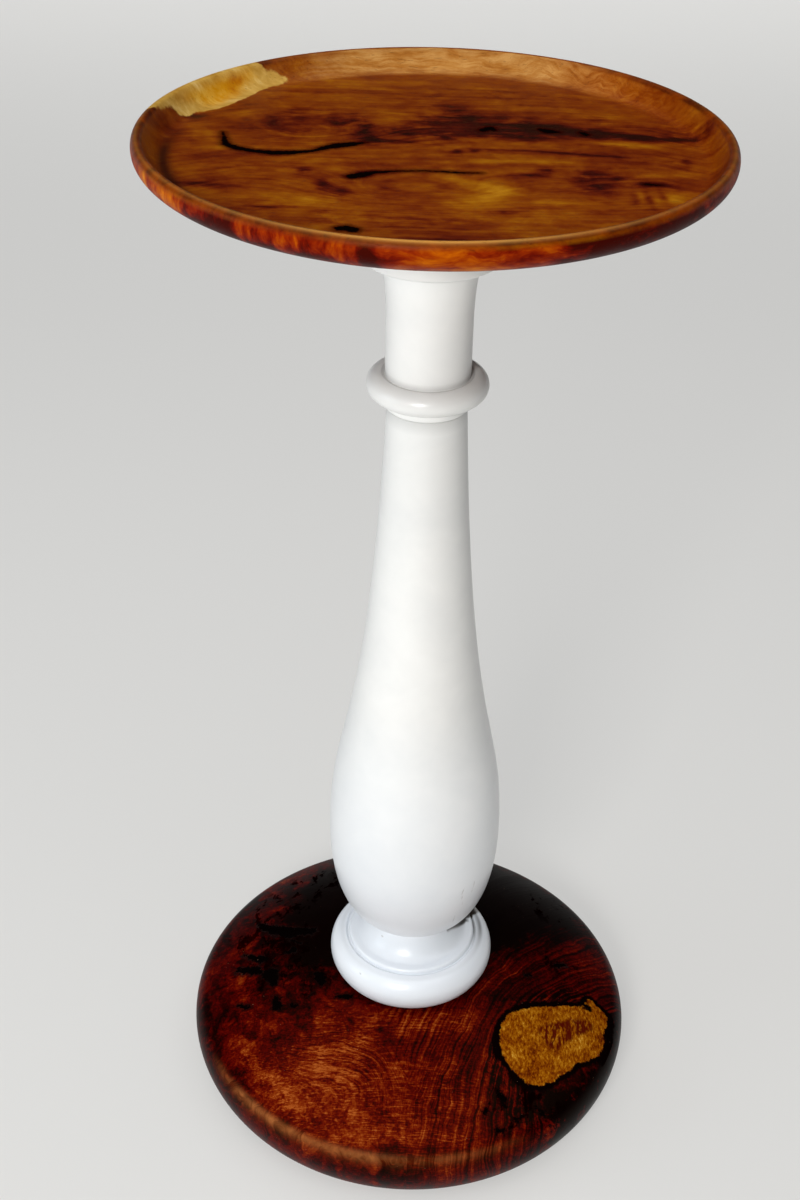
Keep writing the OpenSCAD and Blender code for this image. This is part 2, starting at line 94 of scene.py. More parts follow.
class Graph:
    """Short calls for the nodes of a material or of the world."""

    def __init__(self, tree):
        self.tree = tree

    def node(self, kind, **properties):
        made = self.tree.nodes.new(kind)
        for key, value in properties.items():
            setattr(made, key, value)
        return made

    def put(self, socket, value):
        """Joins the socket to an output, or gives it a constant, or leaves it alone for None."""
        if isinstance(value, bpy.types.NodeSocket):
            self.tree.links.new(value, socket)
        elif value is not None:
            socket.default_value = value

    def math(self, operation, a, b=None, c=None, clamp=False):
        made = self.node("ShaderNodeMath", operation=operation, use_clamp=clamp)
        for socket, value in zip(made.inputs, (a, b, c)):
            self.put(socket, value)
        return made.outputs[0]

    def plus(self, a, b):
        return self.math("ADD", a, b)

    def minus(self, a, b):
        return self.math("SUBTRACT", a, b)

    def times(self, a, b):
        return self.math("MULTIPLY", a, b)

    def times_plus(self, a, b, c):
        return self.math("MULTIPLY_ADD", a, b, c)

    def swing(self, noise, amount):
        """A noise of 0 to 1 as a swing round 0, amount from end to end."""
        return self.times(self.minus(noise, 0.5), amount)

    def sway(self, noise, amount, base):
        """base, moved up and down by a noise of 0 to 1."""
        return self.times_plus(self.minus(noise, 0.5), amount, base)

    def vector(self, operation, a, b=None, scale=None):
        made = self.node("ShaderNodeVectorMath", operation=operation)
        self.put(made.inputs[0], a)
        self.put(made.inputs[1], b)
        if scale is not None:
            self.put(made.inputs["Scale"], scale)
        return made.outputs[0]

    def xyz(self, place):
        made = self.node("ShaderNodeSeparateXYZ")
        self.put(made.inputs[0], place)
        return made.outputs

    def join(self, x, y, z):
        made = self.node("ShaderNodeCombineXYZ")
        for socket, value in zip(made.inputs, (x, y, z)):
            self.put(socket, value)
        return made.outputs[0]

    def turn(self, place, rot=(0, 0, 0), scale=(1, 1, 1)):
        made = self.node("ShaderNodeMapping")
        self.put(made.inputs[0], place)
        made.inputs["Rotation"].default_value = rot
        made.inputs["Scale"].default_value = scale
        return made.outputs[0]

    def noise(self, place, scale, detail=4.0, rough=0.5, color=False):
        made = self.node("ShaderNodeTexNoise")
        self.put(made.inputs["Vector"], place)
        for key, value in (("Scale", scale), ("Detail", detail), ("Roughness", rough)):
            self.put(made.inputs[key], value)
        return made.outputs[1 if color else 0]

    def warp(self, place, scale, amount, detail=2.0):
        """place, moved about by smooth noise, by up to about amount."""
        drift = self.vector("SUBTRACT", self.noise(place, scale, detail, color=True), (0.5, 0.5, 0.5))
        return self.vector("ADD", place, self.vector("SCALE", drift, scale=amount * 2))

    def span(self, value, low, high, start=0.0, end=1.0, kind="SMOOTHSTEP"):
        """A step from start, at low, to end, at high."""
        made = self.node("ShaderNodeMapRange", interpolation_type=kind)
        self.put(made.inputs["Value"], value)
        for key, number in (("From Min", low), ("From Max", high), ("To Min", start), ("To Max", end)):
            self.put(made.inputs[key], number)
        return made.outputs[0]

    def ramp(self, value, stops):
        made = self.node("ShaderNodeValToRGB")
        self.put(made.inputs[0], value)
        elements = made.color_ramp.elements
        while len(elements) < len(stops):
            elements.new(0.5)
        for element, (position, color) in zip(elements, stops):
            element.position = position
            element.color = color
        return made.outputs[0]

    def mix(self, share, a, b):
        """a where share is 0, and b where it is 1."""
        made = self.node("ShaderNodeMix", data_type="RGBA", clamp_factor=True)
        self.put(made.inputs[0], share)
        self.put(made.inputs[6], a)
        self.put(made.inputs[7], b)
        return made.outputs[2]

    def attr(self, name):
        return self.node("ShaderNodeAttribute", attribute_name=name).outputs["Fac"]

    def bump(self, height, distance, strength):
        made = self.node("ShaderNodeBump")
        self.put(made.inputs["Height"], height)
        made.inputs["Distance"].default_value = distance
        made.inputs["Strength"].default_value = strength
        return made.outputs[0]


class Mat(Graph):
    """A procedural material with a Principled shader, whose sockets are given by name or set later."""

    def __init__(self, name, **sockets):
        self.material = bpy.data.materials.new(name)
        self.material.use_nodes = True
        super().__init__(self.material.node_tree)
        self.tree.nodes.clear()
        out = self.node("ShaderNodeOutputMaterial")
        self.shader = self.node("ShaderNodeBsdfPrincipled")
        self.put(out.inputs[0], self.shader.outputs[0])
        self.co = self.node("ShaderNodeTexCoord").outputs["Object"]
        for key, value in sockets.items():
            self.set(key.replace("_", " "), value)

    def set(self, name, value):
        self.put(self.shader.inputs[name], value)


# ======== outlines and turned forms, in mm
def curve(a, b, c, d, n):
    """Cubic curve from a to d, steered by b and c, without its last point."""
    points = []
    for i in range(n):
        t = i / n
        s = 1 - t
        weights = (s * s * s, 3 * s * s * t, 3 * s * t * t, t * t * t)
        terms = list(zip(weights, (a, b, c, d)))
        points.append((sum(k * p[0] for k, p in terms), sum(k * p[1] for k, p in terms)))
    return points


def arc(middle_r, middle_z, half_r, half_z, start, end, n):
    """Part of an ellipse, from one angle to another, in degrees, with both end points."""
    angles = [math.radians(start + (end - start) * i / n) for i in range(n + 1)]
    return [(middle_r + half_r * math.cos(angle), middle_z + half_z * math.sin(angle)) for angle in angles]


def line(a, b, n):
    """Points from a towards b, without its last point."""
    return [(a[0] + (b[0] - a[0]) * i / n, a[1] + (b[1] - a[1]) * i / n) for i in range(n)]


def add_object(name, vertices, faces):
    mesh = bpy.data.meshes.new(name)
    mesh.from_pydata(vertices, [], faces)
    made = bpy.data.objects.new(name, mesh)
    scene.collection.objects.link(made)
    return made


def tube_faces(rings, sides):
    """Faces between rings of points that follow one another, each ring closed on itself."""
    faces = []
    for i in range(rings - 1):
        for k in range(sides):
            j = (k + 1) % sides
            faces.append((i * sides + k, i * sides + j, (i + 1) * sides + j, (i + 1) * sides + k))
    return faces


SHARP = math.radians(32)


def lathe(name, outline, sides):
    """A closed turned piece from (radius, height) pairs that start and end on the axis."""
    profile = np.array([point for point in outline if point[0] > 1e-6])
    angles = np.arange(sides) * (2 * math.pi / sides)
    radius = profile[:, 0][:, None] * np.ones(sides)
    height = profile[:, 1][:, None] * np.ones(sides)
    vertices = np.stack([radius * np.cos(angles), radius * np.sin(angles), height], -1).reshape(-1, 3)
    vertices = np.vstack([vertices, [[0, 0, outline[0][1]], [0, 0, outline[-1][1]]]]) * MM
    rings = len(profile)
    faces = tube_faces(rings, sides)
    first, last = rings * sides, rings * sides + 1
    for k in range(sides):
        j = (k + 1) % sides
        faces.append((first, j, k))
        faces.append((last, (rings - 1) * sides + k, (rings - 1) * sides + j))
    turned = add_object(name, [tuple(vertex) for vertex in vertices], faces)
    turned.data.shade_smooth()
    turned.data.set_sharp_from_angle(angle=SHARP)
    turned.data.validate()
    return turned


# ======== fields stored on a mesh, which the materials read
def coords(piece):
    """The piece's points in mm."""
    values = np.empty(len(piece.data.vertices) * 3)
    piece.data.vertices.foreach_get("co", values)
    return values.reshape(-1, 3) * 1000


def keep(piece, name, values):
    """Stores one number for each of the piece's points, for a material to read."""
    stored = piece.data.attributes.new(name, "FLOAT", "POINT")
    stored.data.foreach_set("value", np.asarray(values, np.float32))


def grow(values, start, width, least=0):
    """How far values have gone from start towards start + width, as a share kept between least and 1."""
    return np.clip((values - start) / width, least, 1)


def bell(values, middle, width):
    """1 at the middle, falling away smoothly on both sides."""
    return np.exp(-((values - middle) / width) ** 2)


def plan_angle(points):
    """The angle of each point round the axis, 0 to 360 degrees."""
    return np.degrees(np.arctan2(points[:, 1], points[:, 0])) % 360


def from_segment(points, x0, y0, x1, y1):
    """Distance from a straight piece of line, and how far along it the nearest place is, 0 to 1."""
    dx, dy = x1 - x0, y1 - y0
    length = max(dx * dx + dy * dy, 1e-9)
    along = np.clip(((points[:, 0] - x0) * dx + (points[:, 1] - y0) * dy) / length, 0, 1)
    return np.hypot(points[:, 0] - x0 - along * dx, points[:, 1] - y0 - along * dy), along


def stroke(points, places):
    """Signed distance to a tapering stroke through places, each (x, y, half width)."""
    best = np.full(len(points), 1e3)
    for (x0, y0, half0), (x1, y1, half1) in zip(places, places[1:]):
        distance, along = from_segment(points, x0, y0, x1, y1)
        best = np.minimum(best, distance - (half0 + (half1 - half0) * along))
    return best


def strokes(points, items):
    """Signed distance to the nearest of several strokes."""
    return np.minimum.reduce([stroke(points, places) for places in items])


def hill(points, x, y, half_length, half_width, turn=0.0, steep=1.0):
    """A soft oval hill of height 1 at (x, y), turned by so many degrees."""
    c, s = math.cos(math.radians(turn)), math.sin(math.radians(turn))
    u = ((points[:, 0] - x) * c + (points[:, 1] - y) * s) / half_length
    v = (-(points[:, 0] - x) * s + (points[:, 1] - y) * c) / half_width
    return np.exp(-(u * u + v * v) * steep)


PATCH_STEEP = 1.2


def patches(points, items):
    """Sum of soft elliptical patches: (x, y, half length, half width, angle, strength)."""
    total = np.zeros(len(points))
    for x, y, half_length, half_width, angle, strength in items:
        total += strength * hill(points, x, y, half_length, half_width, angle, PATCH_STEEP)
    return total


def polygon(points, corners):
    """Signed distance to a closed outline, negative inside."""
    corners = np.array(corners, float)
    edge = np.full(len(points), 1e9)
    inside = np.zeros(len(points), bool)
    for (x0, y0), (x1, y1) in zip(corners, np.roll(corners, -1, 0)):
        edge = np.minimum(edge, from_segment(points, x0, y0, x1, y1)[0])
        crossed = (y0 > points[:, 1]) != (y1 > points[:, 1])
        rise = (y1 - y0) if y1 != y0 else 1e-9
        inside ^= crossed & (points[:, 0] < x0 + (points[:, 1] - y0) * (x1 - x0) / rise)
    return np.where(inside, -edge, edge)


ROUND_STEPS = 6


def rounded(corners):
    """A smooth closed outline through the corners."""
    points = []
    for i in range(len(corners)):
        a, b, c, d = (np.array(corners[(i + j) % len(corners)], float) for j in (-1, 0, 1, 2))
        for step in range(ROUND_STEPS):
            t = step / ROUND_STEPS
            bend = (2 * a - 5 * b + 4 * c - d) * t * t + (3 * b - a - 3 * c + d) * t ** 3
            points.append(0.5 * (2 * b + (c - a) * t + bend))
    return points


NO_MARK = 50.0      # distance in mm stored where a surface can have no crack, hole or chip
NO_AREA = 60.0      # distance in mm stored where a surface lies outside any outlined area


# ======== tray: shape
(_, _, UNDER_Z), (TRAY_R, _, RIM_Z) = box_mm("tray_top")
TRAY_SIDES = 480
UNDER_R = 120.0     # flat part of the underside
DISH_Z = RIM_Z - 13
DISH_R = 148.0      # flat floor of the dish, up to the foot of the cove


def tray_outline():
    """From the middle of the underside, round the rim, and down the cove to the middle of the dish."""
    belly = (TRAY_R - 14.5, UNDER_Z + 7.4)
    wall_top = (TRAY_R, RIM_Z - 5.5)
    crest_out = (TRAY_R - 3.5, RIM_Z)
    crest_in = (TRAY_R - 6.5, RIM_Z - 2.2)
    dish_edge = (DISH_R, DISH_Z)
    return (
        [(0, UNDER_Z)]
        + line((3, UNDER_Z), (UNDER_R, UNDER_Z), 30)
        + curve((UNDER_R, UNDER_Z), (UNDER_R + 13, UNDER_Z), (TRAY_R - 22, UNDER_Z + 4.4), belly, 12)
        + curve(belly, (TRAY_R - 8, UNDER_Z + 10.1), (TRAY_R, UNDER_Z + 14), wall_top, 20)
        + curve(wall_top, (TRAY_R, RIM_Z - 2), (TRAY_R - 1.5, RIM_Z), crest_out, 10)
        + curve(crest_out, (TRAY_R - 5, RIM_Z), (TRAY_R - 5.7, RIM_Z - 0.7), crest_in, 8)
        + curve(crest_in, (TRAY_R - 8.5, RIM_Z - 6.2), (DISH_R + 5, DISH_Z), dish_edge, 16)
        + line(dish_edge, (1, DISH_Z), 112)
        + [(1, DISH_Z), (0, DISH_Z)]
    )


# ======== tray: where its features lie, in mm from the middle
# cracks and short holes, each a stroke through (x, y, half width)
TRAY_CRACKS = [
    [(-119, 27, 0.5), (-117, 16, 1.2), (-115, 6, 2.2), (-108, 0, 2.6), (-98, -4, 2.2), (-88, -6, 3.2),
     (-78, -5, 2.8), (-66, -1, 1.4), (-60, 5, 2.6), (-53, 9, 3.8), (-46, 12, 3.2), (-38, 15, 0.6)],
    [(-43, -40, 3.4), (-38, -37, 3.6), (-32, -33, 2.0), (-20, -30, 0.9), (-6, -28.5, 0.6), (6, -29, 0.9),
     (14, -30, 1.0), (25, -29.5, 0.3)],
    [(27, 42, 2.4), (31, 46, 2.8), (33, 43, 1.6)], [(60, 46, 1.6), (64, 43, 3.4), (70, 42, 1.0)],
    [(83, 42, 1.6), (85, 39, 2.2)], [(-45, -115, 3.0), (-42, -113, 2.0), (-39, -116, 3.4)],
    [(112, -40, 1.2), (119, -41, 0.8)],
]
# (x, y, half length, half width, angle, strength) of the dark stains and of the gold patches
DARK_STAINS = [
    (-52, 52, 8, 13, -35, 0.55), (-40, 38, 7, 17, 0, 0.7), (-36, 20, 8, 8, 0, 0.5),
    (-66, 60, 20, 6, 12, 0.3), (-92, 50, 20, 8, 40, 0.3), (-18, 36, 14, 10, 0, 0.7),
    (6, 42, 17, 20, 0, 1.15), (30, 44, 60, 14, 0, 0.3), (96, 40, 46, 9, 0, 0.3), (-76, 34, 40, 24, 0, 0.24),
    (-80, 70, 24, 12, 20, 0.24), (-20, -106, 50, 10, 0, 0.22), (-18, 17, 17, 5, -6, 0.6),
    (18, 50, 14, 16, 0, 0.5), (40, 42, 22, 11, 0, 0.75), (62, 45, 18, 11, 0, 0.8), (84, 42, 18, 8, 0, 0.8),
    (112, 36, 30, 5, -6, 0.8), (138, 34, 20, 3.5, 0, 0.7), (50, 30, 18, 6, 0, 0.4),
    (10, 80, 6, 18, 30, 0.4), (22, 72, 5, 14, 30, 0.3), (40, 70, 6, 12, 0, 0.3), (52, 60, 5, 12, -15, 0.35),
    (92, 66, 9, 9, 0, 0.35), (10, 60, 20, 8, 0, 0.3), (130, 50, 20, 8, -20, 0.25), (12, 5, 3.5, 4, 0, 0.65),
    (22, 6, 3, 3.5, 0, 0.6), (42, 8.5, 26, 1.8, -2, 0.5), (78, 5, 16, 2, -8, 0.45),
    (100, 2, 10, 3, -10, 0.3), (98, 21, 12, 3, 0, 0.35), (-69, -33, 7, 8, 20, 0.5),
    (-8, -31, 26, 3.5, 4, 0.35), (-38, -38, 9, 7, 20, 0.4), (49, -33, 13, 5, 10, 0.75),
    (60, -22, 6, 5, 30, 0.6), (84, -26, 12, 7, 0, 0.5), (84, -44, 11, 12, 30, 0.85),
    (97, -34, 9, 4, 20, 0.5), (115, -40, 9, 4.5, 0, 0.85), (-50, -64, 8, 13, 25, 0.55),
    (-58, -52, 4, 14, 10, 0.35), (-82, -88, 16, 3, 8, 0.45), (-52, -92, 10, 3, 0, 0.45),
    (-30, -94, 8, 3, 0, 0.35), (38, -86, 10, 4, 18, 0.6), (137, -3, 3.5, 4, 0, 0.6),
    (-120, -58, 20, 4, -6, 0.35), (-134, 8, 3, 22, 22, 0.15), (104, -64, 2.5, 12, 0, 0.35),
    (111, -62, 2, 12, 4, 0.3), (119, -58, 2, 11, 6, 0.3), (-137, 52, 10, 6, 50, 0.45),
    (-115, 72, 16, 5, 55, 0.3), (0, -100, 60, 3, 2, 0.12), (-20, 104, 80, 3, -2, 0.15),
    (30, 92, 60, 3, -5, 0.15), (60, 110, 50, 3, -12, 0.2), (0, -128, 70, 4, 0, 0.3),
    (28, -56, 4, 4, 0, 0.2),
]
GOLD_PATCHES = [
    (48, -6, 24, 8, -4, 1.0), (30, -12, 10, 5, 0, 0.6), (72, -10, 16, 6, 0, 0.5),
    (32, -56, 12, 16, 0, 1.15), (22, -72, 16, 10, 30, 0.9), (18, -44, 16, 7, -25, 0.8),
    (38, -48, 8, 8, 0, 0.4), (122, -26, 22, 6, 6, 0.8), (124, -60, 6, 8, 20, 1.1),
    (107, -58, 2.5, 11, 0, 0.6), (115, -66, 2, 10, 0, 0.5), (-136, 32, 8, 14, 15, 0.8),
    (-126, 22, 3, 14, 20, 0.5), (-126, 0, 22, 5, 4, 0.55), (-100, -32, 24, 16, 0, 0.4),
    (-60, -78, 18, 6, 0, 0.35), (10, -98, 60, 8, 3, 0.4), (-40, -112, 50, 6, 5, 0.4),
    (110, 22, 28, 7, -6, 0.6), (-20, 56, 7, 14, 0, 0.35), (-36, 122, 40, 12, 0, 0.45),
    (-129, -38, 18, 12, 0, 0.55), (24, -54, 14, 8, 0, 0.3), (44, 62, 4, 10, 25, 0.4),
    (-78, 6, 30, 5, 10, 0.2), (0, -66, 40, 24, 0, 0.15), (-72, 26, 20, 12, 0, 0.25),
    (80, -72, 26, 5, 0, 0.2), (96, 90, 26, 22, -30, 0.15), (-110, -20, 20, 4, 0, 0.3),
]
# corners of the sapwood at the left edge
SAP_LINE = [
    (-118, 124), (-107, 117), (-99, 121), (-91, 123), (-93, 119), (-105, 106), (-114, 88), (-124, 71),
    (-136, 61), (-140, 55), (-145, 47), (-150, 45), (-155, 33), (-160, 25), (-176, 20), (-176, 70),
    (-150, 112),
]
# light and dark flames on the front of the edge, placed by x and height
EDGE_FLAMES = [
    (8, 685, 16, 12, 0, 0.25), (34, 688, 18, 9, 0, 0.3), (-29, 690, 5, 14, 20, -1.0),
    (-44, 682, 8, 4, 30, -0.5), (-16, 682, 10, 4, 10, 0.2), (92, 690, 34, 20, 0, -1.0),
    (-92, 684, 34, 5, 0, -0.9), (-140, 684, 20, 5, 0, -0.7), (66, 684, 12, 6, 0, -0.35),
    (126, 690, 26, 20, 0, -0.6), (-80, 692, 26, 9, 0, 0.25), (-108, 688, 18, 14, 0, -1.0),
    (-62, 686, 10, 5, -20, -0.5), (2, 676, 40, 3, 0, -0.5), (58, 692, 7, 7, 0, 0.4),
    (-135, 690, 12, 12, 0, 0.45), (-150, 694, 10, 8, 0, 0.3),
]


COVE_R = 150        # where distance round the cove is measured


def tray_flow(points, x, y):
    """Level lines of the grain: straight along X, and lifted over the swirls."""
    return (y + 34 * hill(points, -72, 26, 46, 24) + 30 * hill(points, -12, -60, 38, 21)
            + 20 * hill(points, 24, -64, 92, 36) - 12 * hill(points, 60, 30, 60, 16)
            + 0.55 * np.clip(-x - 104, 0, None) + 0.5 * np.clip(x - 120, 0, None)
            + 14 * hill(points, 112, 104, 34, 20, -40))


def mark_tray(piece):
    """What the tray's wood reads."""
    points = coords(piece)
    x, y, z = points.T
    radius = np.hypot(x, y)
    angle = plan_angle(points)
    upside = z > DISH_Z - 1
    keep(piece, "crack", np.where(upside, strokes(points, TRAY_CRACKS), NO_MARK))
    keep(piece, "dark", patches(points, DARK_STAINS))
    keep(piece, "gold", patches(points, GOLD_PATCHES))
    keep(piece, "figure", tray_flow(points, x, y))
    keep(piece, "sap", np.where(upside, -polygon(points, rounded(SAP_LINE)), -NO_AREA))
    keep(piece, "around", np.radians(angle) * COVE_R)
    keep(piece, "radius", radius)
    left_arc = grow(angle, 168, 14) * grow(angle, 240, -20)
    # painted shade, with some dark figure, along the foot of the cove on the left
    keep(piece, "groove", bell(radius, DISH_R - 0.5, 3.8) * left_arc * upside)
    outside = (radius > 158.5) | ~upside
    keep(piece, "side", grow(radius, 152, 4) * grow(z, RIM_Z - 1.5, -3) * outside)
    elevation = np.stack([x, z], -1)
    keep(piece, "glow", grow(-y, 0, 60) * patches(elevation, EDGE_FLAMES))
    # painted highlight along the crest of the rim, over a slightly paler worn edge, strongest at the front
    # middle
    front_middle = bell(x, 0, 72) * grow(-y, 0, 40)
    keep(piece, "worn_crest_highlight", bell(radius, TRAY_R - 2.9, 1.1) * (z > RIM_Z - 2) * (0.20 + 0.80 * front_middle))
    back_middle_faint = np.where(y > 0, grow(np.abs(x), 60, 60, 0.2), 1)
    keep(piece, "rim", grow(radius, 155.5, 2) * grow(z, RIM_Z - 2.5, 1) * back_middle_faint)
    # the back of the cove carries a painted highlight where it faces the light, over its swirling figure
    back = grow(y, 0, 60) * grow(x, -88, 34, 0.12) * grow(x, 152, -60, 0.25)
    keep(piece, "cove", grow(radius, 146, 8) * (radius < 160) * upside * back)


# ======== tray: wood
def tray_figure(m, x, z, cloud, fibre, mottle):
    """How light the board's wood is: flowing lines, clouds, dark stains and gold patches."""
    waver = m.swing(m.noise(m.turn(m.co, scale=(0.5, 1, 1)), 40, 3, 0.5), 9)
    flow = m.plus(m.attr("figure"), waver)
    lines = m.noise(m.join(m.times(flow, 0.24), m.times(x, 13), m.times(z, 60)), 1.0, 3, 0.55)
    fine = m.noise(m.join(m.times(flow, 0.85), m.times(x, 34), m.times(z, 200)), 1.0, 3, 0.6)
    drift = m.noise(m.turn(m.warp(m.co, 9, 0.03, 2), scale=(0.6, 1, 1)), 10, 3, 0.5)
    tone = m.sway(lines, 0.28, 0.555)
    for part, amount in ((cloud, 0.66), (drift, 0.44), (fine, 0.16), (fibre, 0.18), (mottle, 0.40)):
        tone = m.sway(part, amount, tone)
    ragged = m.span(m.sway(mottle, 0.9, lines), 0.22, 0.80, 1.5, 0.45)
    stain = m.math("MINIMUM", m.times(m.attr("dark"), ragged), 0.90)
    tone = m.minus(tone, m.times(stain, 0.50))
    return m.plus(tone, m.times(m.attr("gold"), 0.22))


def edge_figure(m, x):
    """Flames of the tray's edge, which lean over on its left half."""
    licks = m.warp(m.co, 40, 0.008, 3)
    leaning = m.noise(m.turn(licks, rot=(0, 0.5, 0), scale=(1.2, 1, 0.35)), 95, 4, 0.6)
    flat = m.noise(m.turn(licks, scale=(0.45, 0.6, 1.3)), 95, 4, 0.6)
    return m.mix(m.span(x, -0.06, 0.0), leaning, flat)


def edge_wood(m, flame):
    tone = m.plus(m.sway(flame, 1.6, 0.43), m.times(m.attr("glow"), 0.42))
    return m.ramp(tone, [(0.12, srgb(58, 4, 1)), (0.30, srgb(104, 14, 1)), (0.44, srgb(136, 38, 2)),
                         (0.58, srgb(162, 68, 2)), (0.74, srgb(184, 92, 3)), (0.92, srgb(208, 122, 20))])


def slope_wood_and_sheen(m, x, tone):
    """The cove at the back: swirls that run round it, pale with a painted highlight on the left and redder on
    the right.
    """
    bend = m.swing(m.noise(m.co, 26, 3, 0.5), m.span(x, 0.02, 0.12, 9, 30))
    across = m.times(m.plus(m.attr("radius"), bend), 0.62)
    swirl = m.noise(m.join(m.times(m.attr("around"), 0.045), across, 0.0), 1.0, 5, 0.66)
    slope_tone = m.sway(swirl, 0.7, m.times_plus(tone, 0.6, 0.2))
    # pale: the slope's wood with a painted highlight on it
    pale = m.ramp(slope_tone,
                  [(0.28, srgb(120, 60, 14)), (0.50, srgb(172, 114, 46)), (0.72, srgb(208, 160, 92))])
    red = m.ramp(slope_tone,
                 [(0.30, srgb(92, 26, 0)), (0.50, srgb(146, 68, 4)), (0.72, srgb(186, 112, 34))])
    return m.mix(m.span(x, 0.05, 0.12), pale, red)


def add_sapwood(m, wood, place, z, cloud):
    """The left edge's sapwood, cream at its border and on the rim and honey-coloured within."""
    depth = m.plus(m.attr("sap"), m.swing(m.noise(place, 110, 4, 0.6), 6))
    slanted = m.turn(m.warp(m.co, 30, 0.006, 2), rot=(0, 0, -0.9), scale=(0.25, 1, 0.6))
    streak = m.noise(slanted, 130, 4, 0.62)
    cream = m.ramp(streak,
                   [(0.30, srgb(166, 122, 40)), (0.55, srgb(196, 156, 76)), (0.75, srgb(222, 194, 128))])
    honey = m.ramp(m.sway(cloud, 1.2, streak),
                   [(0.20, srgb(170, 96, 4)), (0.42, srgb(196, 134, 14)), (0.70, srgb(216, 172, 70))])
    core = m.times(m.span(depth, 3.0, 10.0), m.span(z, 0.693, 0.700, 1, 0.15))
    return m.mix(m.span(depth, -0.8, 0.6), wood, m.mix(core, cream, honey))


def tray_wood():
    m = Mat("tray_wood", Specular_Tint=srgb(255, 214, 160))
    place = m.warp(m.co, 26, 0.004, 3)
    x, _, z = m.xyz(m.co)
    cloud = m.noise(m.turn(place, scale=(0.7, 1.15, 1.15)), 26, 5, 0.62)
    fibre = m.noise(m.turn(place, scale=(0.045, 1, 1)), 1500, 2, 0.6)
    mottle = m.noise(m.turn(place, scale=(0.75, 1, 1)), 120, 4, 0.6)
    tone = tray_figure(m, x, z, cloud, fibre, mottle)
    flame = edge_figure(m, x)
    wood = m.ramp(tone, [(0.06, srgb(30, 1, 0)), (0.24, srgb(62, 3, 0)), (0.38, srgb(90, 20, 0)),
                         (0.50, srgb(112, 40, 0)), (0.63, srgb(132, 62, 0)), (0.78, srgb(154, 90, 2)),
                         (0.95, srgb(180, 120, 16))])
    # painted shade along the foot of the left cove
    wood = m.mix(m.times(m.attr("groove"), 0.92), wood, srgb(40, 5, 0))
    wood = m.mix(m.attr("side"), wood, edge_wood(m, flame))
    # painted highlight on the back cove, in the colours of its wood
    wood = m.mix(m.times(m.attr("cove"), 0.80), wood, slope_wood_and_sheen(m, x, tone))
    rim = m.ramp(flame, [(0.35, srgb(52, 6, 0)), (0.65, srgb(124, 50, 0))])
    wood = m.mix(m.times(m.attr("rim"), 0.85), wood, rim)
    # painted highlight on the crest of the rim, over a paler worn edge
    wood = m.mix(m.times(m.attr("worn_crest_highlight"), 0.76), wood, srgb(210, 152, 72))
    wood = add_sapwood(m, wood, place, z, cloud)
    crack_at = m.plus(m.attr("crack"), m.swing(m.noise(m.co, 380, 3, 0.6), 3.0))
    wood = m.mix(m.span(crack_at, 0.0, 4.5, 0.75, 0), wood, srgb(44, 5, 2))
    crack = m.span(crack_at, -0.5, 0.6, 1, 0)
    wood = m.mix(crack, wood, srgb(7, 3, 3))
    pore = m.span(m.noise(m.turn(place, scale=(0.14, 1, 1)), 1100, 2, 0.5), 0.64, 0.72)
    wood = m.mix(m.times(pore, 0.35), wood, srgb(46, 10, 2))
    m.set("Base Color", wood)
    gloss = m.times_plus(m.attr("side"), -0.09, 0.13)
    m.set("Specular IOR Level", m.times(gloss, m.span(crack_at, 0.0, 4.0)))
    m.set("Roughness", m.plus(m.span(mottle, 0.3, 0.7, 0.38, 0.48), m.times(crack, 0.2)))
    height = m.times_plus(crack, -1.0, m.times_plus(pore, -0.25, m.times(fibre, 0.2)))
    m.set("Normal", m.bump(height, 0.0006, 0.55))
    return m.material


tray = lathe("tray_board", tray_outline(), TRAY_SIDES)
mark_tray(tray)
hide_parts("tray_top")
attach(tray, "top")
tray.data.materials.append(tray_wood())


# ======== column and collar: shapes
(_, _, TENON_FOOT), (BULB_R, _, BLOCK_TOP) = box_mm("column")
(_, _, BASE_TOP), (_, _, COLLAR_TOP) = box_mm("foot_ring")
TENON_R = 15
WHITE_SIDES = 256
COLUMN_TOP = 640.0  # under the block
LIP_R = 41.0
LIP_Z = COLUMN_TOP - 12
RING_Z = 548.5
TUBE_R = 7.4        # of the ring's round section
RING_OUT = 36.6
RING_R = RING_OUT - TUBE_R
NECK_R = 25.6
SHAFT_R = 24.3
FILLET_R = SHAFT_R + 1.3
FILLET_Z = RING_Z - 13.6
BULB_Z = 208.0
SEAT_R = 26.0       # where the bulb stands on the collar


